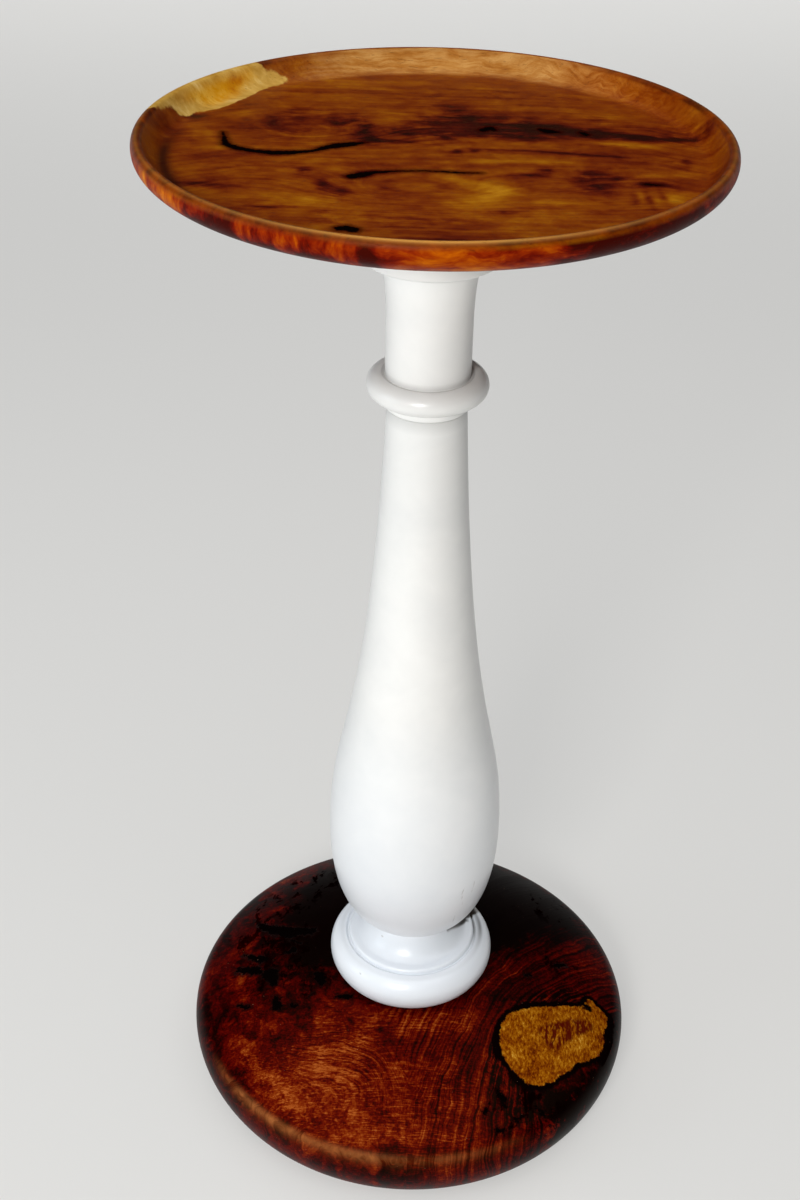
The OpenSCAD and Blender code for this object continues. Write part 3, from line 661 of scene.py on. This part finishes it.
def column_outline():
    """From the lower tenon, up the bulb, shaft, ring, neck and lip, to the end of the upper tenon."""
    shaft_top = (SHAFT_R, FILLET_Z - 1.3)
    neck_foot = (NECK_R, LIP_Z - 38)
    return (
        [(0, TENON_FOOT), (TENON_R - 1, TENON_FOOT), (TENON_R, TENON_FOOT + 1), (TENON_R, COLLAR_TOP)]
        + curve((SEAT_R, COLLAR_TOP), (SEAT_R + 14, COLLAR_TOP), (BULB_R, BULB_Z - 62), (BULB_R, BULB_Z), 48)
        + curve((BULB_R, BULB_Z), (BULB_R, BULB_Z + 88.6), (SHAFT_R + 10.6, BULB_Z + 73.2), shaft_top, 90)
        + [shaft_top, (SHAFT_R - 0.9, FILLET_Z - 0.5), (FILLET_R - 0.3, FILLET_Z)]
        + curve((FILLET_R, FILLET_Z + 0.3), (FILLET_R, FILLET_Z + 3),
                (RING_R - 3.2, RING_Z - 7.8), (RING_R - 1.9, RING_Z - 7.1), 10)
        + arc(RING_R, RING_Z, TUBE_R, TUBE_R, -90, 118, 42)
        + line((NECK_R, RING_Z + TUBE_R), neck_foot, 10)
        + curve(neck_foot, (NECK_R, LIP_Z - 22), (NECK_R + 1.4, LIP_Z - 8), (NECK_R + 4.4, LIP_Z), 24)
        + [(NECK_R + 4.4, LIP_Z)]
        + arc(LIP_R - 2, LIP_Z + 2, 2, 2, -90, 0, 10)
        + arc(LIP_R - 1.5, COLUMN_TOP - 1.5, 1.5, 1.5, 0, 90, 6)
        + [(TENON_R, COLUMN_TOP), (TENON_R, BLOCK_TOP), (0, BLOCK_TOP)]
    )


BEAD_HALF_WIDTH = 14.0
BEAD_HALF_HEIGHT = 15.1
BEAD_OUT = 59.1
BEAD_R = BEAD_OUT - BEAD_HALF_WIDTH
BEAD_Z = BASE_TOP + BEAD_HALF_HEIGHT
BEAD_TOP = BEAD_Z + BEAD_HALF_HEIGHT


def collar_outline():
    """From the base, round the big bead and a small step, and up the cove to the seat of the bulb."""
    cove_top = (SEAT_R + 1, COLLAR_TOP - 1.5)
    return (
        [(0, BASE_TOP), (TENON_R, BASE_TOP), (BEAD_R, BASE_TOP)]
        + arc(BEAD_R, BEAD_Z, BEAD_HALF_WIDTH, BEAD_HALF_HEIGHT, -84, 78, 44)
        + [(BEAD_R + 1.7, BEAD_TOP - 1.6), (BEAD_R + 0.6, BEAD_TOP - 1.6), (BEAD_R + 0.4, BEAD_TOP - 0.2)]
        + arc(BEAD_R - 1.6, BEAD_TOP - 0.2, 2, 2, 0, 90, 10)
        + curve((BEAD_R - 4.4, BEAD_TOP + 1.9), (BEAD_R - 11, BEAD_TOP + 2.3),
                (SEAT_R + 1.5, COLLAR_TOP - 10), cove_top, 28)
        + [cove_top, (SEAT_R, COLLAR_TOP), (TENON_R, COLLAR_TOP), (0, COLLAR_TOP)]
    )


# ======== column and collar: marks and paint
# small chips on the front, each a stroke through (x, height, half width)
COLUMN_CHIPS = [
    [(35, 172, 0.1), (34, 184, 0.2), (36, 192, 0.1)], [(29, 152, 0.1), (30, 164, 0.15)],
    [(41, 180, 0.1), (43, 192, 0.1)], [(-8, 352, 0.3), (-7, 352, 0.2)], [(10, 470, 0.2), (10.5, 470, 0.1)],
    [(-14, 404, 0.2), (-13, 404.5, 0.1)],
]
COLLAR_CHIPS = [
    [(-21, 117, 0.4), (-20.5, 117, 0.4)], [(-36, 100, 0.3), (-35, 100, 0.3)],
    [(30, 84, 0.3), (31, 84, 0.2)],
]
# the open joint between bulb and collar, darkened with painted shade, a stroke through (x, y, half width)
OPEN_JOINT = [
    (26, -14, 0.6), (32, -4, 1.6), (37, 5, 2.4), (42, 15, 2.8), (46, 21, 3.0), (50, 31, 2.6),
]


def mark_paint(piece, chips, crease_shade):
    """What the paint reads: chips on the front, painted shade in the creases, and a cooler white low down."""
    points = coords(piece)
    x, y, z = points.T
    elevation = np.stack([x, z], -1)
    keep(piece, "chip", np.where(y < -4, strokes(elevation, chips), NO_MARK))
    keep(piece, "crease_shade", crease_shade(points, z))
    keep(piece, "cool", grow(z, 330, -200))


def column_crease_shade(points, z):
    """Painted shade under the ring, and above it where the neck comes out."""
    neck = np.hypot(points[:, 0], points[:, 1]) < NECK_R + 2.5
    return bell(z, FILLET_Z - 0.9, 0.8) + 0.8 * bell(z, RING_Z + TUBE_R, 1.0) * neck


def collar_crease_shade(points, z):
    """Painted shade in the step above the bead, most of it at the right, and the dark of the open joint,
    which is painted shade in a real gap.
    """
    gap = grow(stroke(points, OPEN_JOINT), 0.5, -1) * (z > BEAD_Z)
    return (0.3 + 2.2 * hill(points, 45, 5, 16, 16)) * bell(z, BEAD_TOP - 1.3, 0.8) + 3.2 * gap


def white_paint():
    m = Mat("white_paint", Roughness=0.33, Specular_IOR_Level=0.5, Coat_Weight=0.25, Coat_Roughness=0.10)
    blotch = m.noise(m.warp(m.co, 12, 0.02), 14, 4, 0.6)
    paint = m.ramp(blotch,
                   [(0.3, srgb(230, 231, 230)), (0.6, srgb(240, 240, 238)), (0.75, srgb(244, 244, 242))])
    cool = m.mix(blotch, srgb(232, 240, 250), srgb(244, 248, 254))
    paint = m.mix(m.times(m.attr("cool"), 0.8), paint, cool)
    # painted shade in the creases and in the open joint
    crease_shade_mix = m.math("MULTIPLY", m.attr("crease_shade"), 0.30, clamp=True)
    paint = m.mix(crease_shade_mix, paint, srgb(38, 30, 22))
    chip = m.span(m.plus(m.attr("chip"), m.swing(m.noise(m.co, 900, 2, 0.5), 0.9)), -0.1, 0.5, 1, 0)
    paint = m.mix(m.times(chip, 0.4), paint, srgb(150, 144, 134))
    m.set("Base Color", paint)
    turned = m.noise(m.turn(m.co, scale=(0.03, 0.03, 1)), 900, 3, 0.6)
    skin = m.noise(m.co, 420, 3, 0.55)
    m.set("Roughness", m.span(skin, 0.3, 0.7, 0.31, 0.37))
    height = m.times_plus(chip, -0.8, m.plus(m.times(turned, 0.35), m.times(skin, 0.5)))
    m.set("Normal", m.bump(height, 0.00016, 0.5))
    return m.material


paint = white_paint()
column = lathe("turned_column", column_outline(), WHITE_SIDES)
mark_paint(column, COLUMN_CHIPS, column_crease_shade)
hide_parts("column")
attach(column, "pedestal")
column.data.materials.append(paint)

foot = lathe("foot_collar", collar_outline(), WHITE_SIDES)
mark_paint(foot, COLLAR_CHIPS, collar_crease_shade)
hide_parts("foot_ring")
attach(foot, "pedestal")
foot.data.materials.append(paint)


# ======== base: shape
(_, _, STANDING_Z), (BASE_R, _, _) = box_mm("base_disc")
BASE_SIDES = 512
HOLLOW_R = 108
STANDING_R = 148.4
WIDEST_Z = 27.7
SHOULDER_R = BASE_R - 9
SHOULDER_Z = 45.6


def base_outline():
    """From the hollow underneath, round the wall and the shoulder, and up the dome to the collar's seat."""
    ring_in = (HOLLOW_R + 4, STANDING_Z)
    ring_out = (STANDING_R, STANDING_Z)
    widest = (BASE_R, WIDEST_Z)
    shoulder = (SHOULDER_R, SHOULDER_Z)
    seat_edge = (BEAD_OUT - 7, BASE_TOP)
    return (
        [(0, STANDING_Z + 1), (HOLLOW_R, STANDING_Z + 1), ring_in]
        + line(ring_in, ring_out, 8)
        + curve(ring_out, (STANDING_R + 5, STANDING_Z + 1.5), (BASE_R, WIDEST_Z - 11.7), widest, 20)
        + curve(widest, (BASE_R, WIDEST_Z + 9.3), (BASE_R - 3.5, SHOULDER_Z - 3.1), shoulder, 18)
        + curve(shoulder, (BASE_R - 31, SHOULDER_Z + 12.4), (BASE_R - 66, BASE_TOP - 5), seat_edge, 84)
        + line(seat_edge, (30, BASE_TOP), 8)
        + [(30, BASE_TOP), (0, BASE_TOP)]
    )


# ======== base: where its features lie, in mm from the middle
# corners of the pale knot, of its dark heart, and of the painted shadow of the column on the dark burr behind
# it
KNOT_LINE = [
    (65.5, -68), (68, -56), (75, -46), (88, -39), (103, -34), (117, -29), (127, -26), (131, -20),
    (134, -17), (141, -22), (147, -28), (144, -40), (142.5, -52), (139, -61), (130, -70), (122, -75),
    (115, -83), (105, -92), (95, -98.5), (86, -99.5), (77, -94), (70, -86), (66.5, -77),
]
HEART_LINE = [
    (95, -53), (104, -47), (117, -41), (130, -36), (136, -38), (135, -45), (125, -53), (116, -61),
    (107, -71), (98, -67), (94, -60),
]
SHADE_LINE = [
    (-60, -12), (-82, 2), (-92, 30), (-94, 56), (-88, 86), (-66, 112), (-30, 130), (40, 138), (104, 112),
    (122, 76), (112, 48), (78, 22), (52, 4), (30, 20), (-20, 10),
]
# (x, y, half length, half width, angle, strength) of black streaks, pitted areas, and lighter and darker
# wood, partly painted light at the front-left and painted shade at the back
BLACK_STREAKS = [
    (122, -106, 34, 9, 42, 1.6), (96, -114, 26, 9, 14, 1.2), (146, -58, 6, 34, -10, 1.0),
    (62, -80, 4, 24, -6, 0.8), (72, -102, 10, 8, 0, 0.8), (100, -26, 34, 4, 24, 0.5),
    (150, -84, 6, 20, -30, 0.8),
]
PITTED_AREAS = [
    (-106, 16, 32, 48, 0, 1.0), (-80, -22, 24, 20, 0, 0.7), (-80, 90, 50, 24, 40, 0.6),
    (84, -116, 30, 16, 30, 0.8), (112, 12, 28, 20, 0, 0.45), (110, 80, 40, 30, 0, 0.5),
]
LIGHT_AREAS = [
    (-42, -106, 56, 30, -12, 1.0), (-96, -100, 42, 10, -44, 0.7), (-60, -60, 14, 12, 60, 0.85),
    (-20, -64, 26, 12, 20, 0.8), (8, -64, 22, 8, 30, 0.6), (-122, -24, 12, 40, 12, 0.35),
    (-104, -54, 18, 20, 0, 0.2), (-126, 34, 10, 26, -20, 0.3), (30, -60, 30, 12, 10, 0.5),
    (30, -110, 26, 36, 0, 0.4), (-10, -143, 60, 7, 0, 0.6), (4, -156, 26, 6, 0, 0.55),
    (80, -128, 24, 12, 30, 0.2), (60, -22, 26, 8, 34, 0.25), (140, 20, 26, 10, 40, 0.25),
    (-112, 72, 12, 34, -34, 0.2), (-60, -84, 30, 12, 0, 0.4), (-46, -130, 36, 9, 0, 0.3),
    (-90, 120, 40, 20, 40, 0.1),
]
DARK_AREAS = [
    (60, 90, 90, 60, 0, 0.6), (-40, 60, 50, 60, 0, 0.6), (-66, 20, 26, 34, 0, 0.8),
    (100, 70, 60, 40, 0, 0.4), (-110, 44, 26, 12, -20, 0.4), (-100, -8, 16, 12, 0, 0.3),
    (60, 4, 40, 16, 30, 0.3),
]
FEATHERED_AREA = [(-44, -96, 40, 26, -20, 1.5)]
# open holes in the burr, each a stroke through (x, y, half width)
BASE_HOLES = [
    [(-118, 46, 2), (-106, 36, 5), (-92, 30, 6), (-76, 28, 4)], [(-126, 14, 1), (-116, 6, 4), (-108, 4, 2)],
    [(-94, 7, 2), (-88, 9, 3)], [(-128, -2, 3), (-116, -6, 4), (-112, -9, 2)],
    [(-104, -12, 6), (-100, -22, 3)], [(-97, -34, 2), (-96, -44, 4)], [(-64, -26, 3), (-66, -20, 5)],
    [(-52, -40, 1.6), (-44, -41, 2.8)], [(-86, -44, 1.6), (-82, -46, 1.8)],
    [(-126, -36, 1.2), (-118, -40, 1.6)], [(-90, 20, 0.8), (-84, 16, 1.2)],
    [(64, -108, 2.0), (68, -116, 2.8)], [(64, -134, 2.6), (68, -134, 1.4)],
    [(132.5, -24.5, 2.6), (133, -22, 2.0)], [(82, -122, 1.4), (76, -126, 1.6)],
    [(92, -114, 2.2), (96, -118, 1.4)], [(54, -124, 0.8), (58, -118, 1.4)],
    [(-70, -36, 1.0), (-74, -40, 0.8)], [(110, 8, 2.0), (116, 10, 1.2)], [(86, -10, 1.4), (94, -8, 0.8)],
]

KNOT_X = 98
KNOT_Y = -62
RING_START = 34     # where the rings begin to turn round the knot, in degrees
RING_SWEEP = 235


def ring_fields(x, y):
    """Grain that turns round the knot as year rings turn round a branch, and where it shows."""
    reach = np.hypot(x - KNOT_X, y - KNOT_Y)
    sweep = (np.degrees(np.arctan2(y - KNOT_Y, x - KNOT_X)) - RING_START) % 360
    corner = 180 / RING_SWEEP
    ring = 2.7 * reach ** corner * np.sin(np.radians(np.clip(sweep, 0, RING_SWEEP) * corner))
    shown = grow(sweep, RING_SWEEP + 2, -22) * grow(x + 0.25 * (y + 90), -14, 16)
    return ring, shown


def mark_base(piece):
    """What the base's wood reads."""
    points = coords(piece)
    x, y, z = points.T
    upper = z > 40
    keep(piece, "knot", np.where(upper, polygon(points, rounded(KNOT_LINE)), NO_AREA))
    keep(piece, "heart", np.where(upper, polygon(points, rounded(HEART_LINE)), NO_AREA))
    keep(piece, "black", patches(points, BLACK_STREAKS))
    ring, ring_shown = ring_fields(x, y)
    keep(piece, "ring", ring)
    keep(piece, "ring_on", ring_shown)
    keep(piece, "feather", np.hypot((x + 92) / 1.8, y + 118 + 0.18 * (x + 60)) + 6 * np.sin(x / 17))
    keep(piece, "feather_on", patches(points, FEATHERED_AREA).clip(0, 1))
    keep(piece, "tangent", np.hypot(x + 10, 0.9 * (y - 34)) + 5 * np.sin(y / 19))
    angle = plan_angle(points)
    front_left = grow(angle, 206, 12) * grow(angle, 304, -40)
    # painted sheen of the light along the front-left of the shoulder, in lighter wood colours
    keep(piece, "shoulder", 1.25 * bell(np.hypot(x, y), BASE_R - 3.8, 1.9) * (z > 30) * front_left)
    # painted shadow of the column on the wood behind it
    keep(piece, "shadow_behind_column", np.where(upper, -polygon(points, rounded(SHADE_LINE)), -NO_AREA))
    keep(piece, "pitted", patches(points, PITTED_AREAS).clip(0, 1) * upper)
    keep(piece, "void", np.where(upper, strokes(points, BASE_HOLES), NO_MARK))
    # lighter wood at the front-left and darker at the back, partly painted light and painted shade
    keep(piece, "lit", patches(points, LIGHT_AREAS) - patches(points, DARK_AREAS))


# ======== base: wood
def strands(m, field, closeness, broken):
    """Streaks that follow the level lines of a field, broken up along their length."""
    x, y, _ = m.xyz(m.co)
    return m.noise(m.join(m.times(field, closeness), m.times(x, broken), m.times(y, broken)), 1.0, 4, 0.66)


def hairs(m, angle, scale):
    """Fine bright hairlines across the grain, at one angle."""
    return m.span(m.noise(m.turn(m.co, rot=(0, 0, angle), scale=(0.09, 1, 1)), scale, 2, 0.5), 0.56, 0.70)


def base_figure(m, place, fibre, comb):
    """How light the base's wood is."""
    # tone partly painted light at the front-left and painted shade at the back
    tone = m.times_plus(m.attr("lit"), 0.30, 0.33)
    cloud = m.noise(place, 34, 5, 0.62)
    burr = m.noise(m.warp(m.co, 70, 0.014, 3), 150, 6, 0.72)
    grain = m.noise(m.co, 520, 4, 0.72)
    for part, amount in ((fibre, 1.45), (cloud, 0.72), (burr, 0.70), (grain, 0.62)):
        tone = m.sway(part, amount, tone)
    tatter = m.span(m.times_plus(comb, 1.3, burr), 0.98, 1.28, 0.80, 0.0)
    tone = m.minus(tone, m.times(m.attr("black"), tatter))
    ragged = m.swing(m.noise(m.turn(place, scale=(1, 0.7, 1)), 46, 6, 0.70), 64)
    # painted shadow of the column, with a ragged edge
    shadow_behind_column = m.span(m.plus(m.attr("shadow_behind_column"), ragged), -5.0, 12.0)
    tone = m.minus(tone, m.times(shadow_behind_column, 0.42))
    hair = m.math("MAXIMUM", hairs(m, -0.75, 820), hairs(m, -0.15, 980))
    hair = m.math("MAXIMUM", hairs(m, 0.55, 900), hair)
    return m.plus(tone, m.times(m.times(hair, m.span(m.attr("lit"), -0.1, 0.6)), 0.22))


def knot_wood(m, place, jag, hole):
    """Pale gritty wood of the knot, with a dark barred heart."""
    grit = m.noise(m.turn(m.co, rot=(0, 0, 0.5), scale=(1, 0.45, 1)), 620, 3, 0.7)
    pale = m.ramp(m.sway(grit, 1.5, m.noise(place, 60, 4, 0.6)),
                  [(0.18, srgb(84, 28, 2)), (0.38, srgb(120, 54, 2)), (0.55, srgb(146, 80, 5)),
                   (0.74, srgb(178, 114, 20)), (0.95, srgb(212, 160, 60))])
    bars = m.noise(m.turn(m.co, rot=(0, 0, -0.22), scale=(1, 0.16, 1)), 440, 3, 0.6)
    heart = m.times(m.span(m.plus(m.attr("heart"), jag), -3.0, 1.0, 1, 0), m.span(bars, 0.42, 0.52))
    pale = m.mix(m.times(heart, 0.95), pale, srgb(78, 12, 4))
    return m.mix(hole, pale, srgb(8, 3, 2))


def base_wood():
    m = Mat("base_wood", Specular_Tint=srgb(255, 206, 150))
    place = m.warp(m.co, 24, 0.004, 3)
    waver = m.swing(m.noise(m.co, 34, 3, 0.5), 9)
    comb = strands(m, m.plus(m.attr("ring"), waver), 0.62, 9)
    feather = strands(m, m.plus(m.attr("feather"), waver), 0.80, 26)
    curl = strands(m, m.times_plus(waver, 1.3, m.attr("tangent")), 0.62, 30)
    fibre = m.mix(m.attr("feather_on"), m.mix(m.attr("ring_on"), curl, comb), feather)
    wood = m.ramp(base_figure(m, place, fibre, comb),
                  [(0.08, srgb(6, 0, 0)), (0.24, srgb(30, 0, 0)), (0.38, srgb(60, 0, 0)),
                   (0.50, srgb(82, 3, 0)), (0.62, srgb(104, 20, 1)), (0.76, srgb(128, 46, 6)),
                   (0.95, srgb(166, 84, 30))])
    # painted sheen along the shoulder
    shoulder_sheen = m.ramp(fibre, [(0.35, srgb(84, 26, 4)), (0.65, srgb(168, 104, 54))])
    wood = m.mix(m.times(m.attr("shoulder"), 0.60), wood, shoulder_sheen)
    blot = m.noise(m.turn(m.warp(m.co, 60, 0.006, 3), scale=(1, 0.6, 1)), 88, 6, 0.70)
    pitted = m.span(m.attr("pitted"), 0.08, 0.4)
    pits = m.times(m.span(m.times_plus(m.attr("pitted"), 0.10, blot), 0.585, 0.635), pitted)
    wood = m.mix(m.times(pits, 0.9), wood, srgb(6, 0, 0))
    hole_at = m.plus(m.attr("void"), m.swing(m.noise(m.co, 170, 6, 0.78), 17))
    hole = m.span(hole_at, -1.0, 0.6, 1, 0)
    wood = m.mix(m.span(hole_at, 0, 4, 0.6, 0), wood, srgb(18, 0, 0))
    wood = m.mix(hole, wood, srgb(5, 2, 2))
    jag = m.swing(m.noise(m.co, 210, 5, 0.72), 7.0)
    knot_at = m.plus(m.attr("knot"), jag)
    border = m.span(m.minus(knot_at, m.times(m.attr("black"), 4.5)), 2.6, 4.6)
    wood = m.mix(border, srgb(8, 2, 2), wood)
    wood = m.mix(m.span(knot_at, -0.5, 0.5, 1, 0), wood, knot_wood(m, place, jag, hole))
    dust = m.span(m.noise(m.co, 700, 1, 0.5), 0.80, 0.83)
    wood = m.mix(m.times(dust, 0.5), wood, srgb(190, 150, 120))
    m.set("Base Color", wood)
    matt = m.math("MAXIMUM", hole, m.math("MAXIMUM", pits, m.minus(1.0, border)))
    m.set("Specular IOR Level", m.times_plus(matt, -0.045, 0.045))
    m.set("Roughness", m.span(fibre, 0.3, 0.7, 0.34, 0.44))
    m.set("Normal", m.bump(m.times_plus(hole, -1.5, m.times(fibre, 0.5)), 0.0006, 0.5))
    return m.material


base = lathe("turned_base", base_outline(), BASE_SIDES)
mark_base(base)
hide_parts("base_disc")
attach(base, "pedestal")
base.data.materials.append(base_wood())


# ======== smaller parts, which keep their CAD mesh
def dress(names, material, bevel=0.0):
    """Gives CAD nodes a material and, where bevel is not 0, edges broken by that many mm."""
    for name in names:
        piece = nodes[name]
        for slot in piece.material_slots:
            slot.material = material
        if not piece.material_slots:
            piece.data.materials.append(material)
        if bevel:
            edges = piece.modifiers.new("edges", "BEVEL")
            edges.width = bevel * MM
            edges.segments = 2
            edges.limit_method = "ANGLE"
            edges.angle_limit = math.radians(40)
            edges.harden_normals = False


def plain_wood(name, dark, light, scale, along):
    m = Mat(name, Specular_IOR_Level=0.2)
    place = m.turn(m.warp(m.co, 10, 0.01, 2), scale=along)
    figure = m.noise(place, scale, 5, 0.62)
    fibre = m.noise(place, scale * 6, 3, 0.6)
    m.set("Base Color", m.ramp(m.times_plus(figure, 0.7, m.times(fibre, 0.3)), [(0.3, dark), (0.68, light)]))
    m.set("Roughness", m.span(fibre, 0.3, 0.7, 0.45, 0.6))
    m.set("Normal", m.bump(fibre, 0.0003, 0.6))
    return m.material


def metal(name, bright, dull, roughness):
    m = Mat(name, Metallic=1.0)
    stain = m.noise(m.warp(m.co, 60, 0.01), 90, 4, 0.6)
    brushing = m.noise(m.turn(m.co, scale=(1, 0.06, 1)), 2600, 2, 0.5)
    m.set("Base Color", m.mix(m.span(stain, 0.4, 0.7), bright, dull))
    m.set("Roughness", m.span(brushing, 0.3, 0.7, roughness - 0.06, roughness + 0.08))
    m.set("Normal", m.bump(brushing, 0.00005, 0.4))
    return m.material


def felt():
    m = Mat("felt", Roughness=0.95, Sheen_Weight=0.5)
    fuzz = m.noise(m.warp(m.co, 400, 0.002), 1500, 4, 0.7)
    m.set("Base Color", m.ramp(fuzz, [(0.3, srgb(40, 58, 42)), (0.7, srgb(72, 94, 72))]))
    m.set("Normal", m.bump(fuzz, 0.0004, 1.0))
    return m.material


WOOD_EDGE = 0.8     # mm
BRASS_EDGE = 0.25   # mm
block_wood = plain_wood("block_wood", srgb(64, 26, 10), srgb(122, 66, 28), 60, (1, 0.08, 0.5))
bearer_wood = plain_wood("bearer_wood", srgb(70, 30, 10), srgb(128, 72, 30), 60, (0.8, 0.06, 0.8))
pale_wood = plain_wood("pale_wood", srgb(150, 112, 68), srgb(196, 160, 110), 90, (0.1, 1, 1))
brass = metal("brass", srgb(190, 146, 78), srgb(146, 104, 48), 0.32)
steel = metal("steel", srgb(164, 164, 162), srgb(128, 128, 126), 0.36)
dress(["tilt_block"], block_wood, WOOD_EDGE)
dress(["batten_left", "batten_right"], bearer_wood, WOOD_EDGE)
dress(["tenon_wedge", "tenon_pin"], pale_wood)
dress(["pivot_screw_left", "pivot_screw_right", "pivot_washers"], brass)
dress(["catch_screws", "strike_screws", "catch_knob"], brass)
dress(["catch_plate", "catch_case", "catch_bolt", "strike_plate"], brass, BRASS_EDGE)
dress(["batten_screws", "base_screw", "base_washer"], steel)
dress(["floor_pads"], felt())


# ======== catch spring, wound at its length at rest; the real one shortens as the knob is pulled
SPRING_WIRE_R = 0.35 * MM
SPRING_TURNS = 6
TURN_STEPS = 20
WIRE_SIDES = 8
CLOSED_ENDS = 0.1   # how far the pitch falls away at the ends


def coil(name, low, high):
    """Round wire wound along Y to fill the box from low to high, in metres, with nearly closed end turns."""
    middle = (low + high) / 2
    radius = (high[0] - low[0]) / 2 - SPRING_WIRE_R
    length = high[1] - low[1] - 2 * SPRING_WIRE_R
    steps = SPRING_TURNS * TURN_STEPS
    vertices = []
    for i in range(steps + 1):
        share = i / steps
        turn = 2 * math.pi * SPRING_TURNS * share
        rise = low[1] + SPRING_WIRE_R + length * (share - CLOSED_ENDS * math.sin(2 * math.pi * share))
        for k in range(WIRE_SIDES):
            around = 2 * math.pi * k / WIRE_SIDES
            reach = radius + SPRING_WIRE_R * math.cos(around)
            vertices.append((middle[0] + reach * math.cos(turn), rise + SPRING_WIRE_R * math.sin(around),
                             middle[2] - reach * math.sin(turn)))
    faces = tube_faces(steps + 1, WIRE_SIDES)
    faces.append(tuple(range(WIRE_SIDES - 1, -1, -1)))
    faces.append(tuple(range(steps * WIRE_SIDES, (steps + 1) * WIRE_SIDES)))
    wound = add_object(name, vertices, faces)
    wound.data.shade_smooth()
    return wound


low, high = (np.array(corner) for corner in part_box("catch_spring"))
spring = coil("coil_spring", low, high)
spring.data.materials.append(steel)
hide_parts("catch_spring")
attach(spring, "top")
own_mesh(spring)


# ======== studio: floor and lamps, in metres
FLOOR_HALF = 8


def floor_paint():
    """A pale floor. Part of what the camera and mirror rays see is a glow that gives no diffuse light."""
    m = Mat("studio_floor", Roughness=0.9, Specular_IOR_Level=0.2)
    ray = m.node("ShaderNodeLightPath").outputs
    through = m.plus(ray["Is Glossy Ray"], ray["Is Transmission Ray"])
    seen = m.math("ADD", ray["Is Camera Ray"], through, clamp=True)
    m.set("Base Color", m.mix(seen, srgb(222, 221, 218), srgb(158, 157, 155)))
    m.set("Emission Color", srgb(252, 252, 250))
    m.set("Emission Strength", m.times(seen, 0.42))
    return m.material


corners = [(x * FLOOR_HALF, y * FLOOR_HALF, 0) for x, y in ((-1, -1), (1, -1), (1, 1), (-1, 1))]
floor = add_object("floor", corners, [(0, 1, 2, 3)])
floor.data.materials.append(floor_paint())


def lamp(name, place, target, power, size, color=(1, 1, 1), spread=180):
    """A rectangular lamp that faces target, with its power in watts and its spread in degrees."""
    light = bpy.data.lights.new(name, "AREA")
    light.shape = "RECTANGLE"
    light.size, light.size_y = size
    light.energy = power
    light.color = color
    light.spread = math.radians(spread)
    holder = bpy.data.objects.new(name, light)
    scene.collection.objects.link(holder)
    holder.location = place
    holder.rotation_euler = (Vector(target) - Vector(place)).to_track_quat("-Z", "Y").to_euler()


lamp("key", (-0.42, -1.58, 1.16), (0, 0, 0.38), 22, (0.5, 0.5), color=(1, 0.985, 0.96))
lamp("left", (-2.0, -0.6, 0.9), (0, 0, 0.35), 9, (1.0, 1.0), color=(0.80, 0.91, 1))
lamp("top", (0.0, -0.2, 2.6), (0, -0.2, 0), 44, (4.0, 3.0))
lamp("back", (0.0, 3.9, 2.6), (0, 3.9, 0), 34, (5.0, 2.6), spread=75)


# ======== studio: world
# How strong the sky is, by the height of the direction looked in: 0 at the horizon and 1 straight up. It is
# dim low down, because a bright horizon lays a haze on the polished woods, and gives soft light from above.
SKY_START = 0.60
DIM = 0.02
BRIGHT = 0.42
# A pale backdrop for the camera and for what mirrors it or lets it through. It gives the table no diffuse
# light. Mirror rays see only its foot, at the horizon, again to keep the haze away.
BACKDROP = 0.80
BACKDROP_TOP = 0.60
BACKDROP_END = BACKDROP_TOP + 0.10
world = bpy.data.worlds.new("studio")
scene.world = world
world.use_nodes = True
w = Graph(world.node_tree)
_, _, height = w.xyz(w.node("ShaderNodeTexCoord").outputs["Generated"])
ray = w.node("ShaderNodeLightPath").outputs
mirror = ray["Is Glossy Ray"]
seen = w.math("MAXIMUM", w.math("MAXIMUM", ray["Is Camera Ray"], ray["Is Transmission Ray"]), mirror)
raised = w.plus(height, w.times(mirror, BACKDROP_TOP))
wall = w.span(raised, BACKDROP_TOP, BACKDROP_END, 1.0, 0.0, "LINEAR")
strength = w.node("ShaderNodeMix")
w.put(strength.inputs["Factor"], w.times(seen, wall))
w.put(strength.inputs["A"], w.span(height, SKY_START, 1.0, DIM, BRIGHT))
w.put(strength.inputs["B"], BACKDROP)
sky = world.node_tree.nodes["Background"]
w.put(sky.inputs["Color"], (0.86, 0.87, 0.88, 1))
w.put(sky.inputs["Strength"], strength.outputs["Result"])
scene.view_settings.view_transform = "Standard"
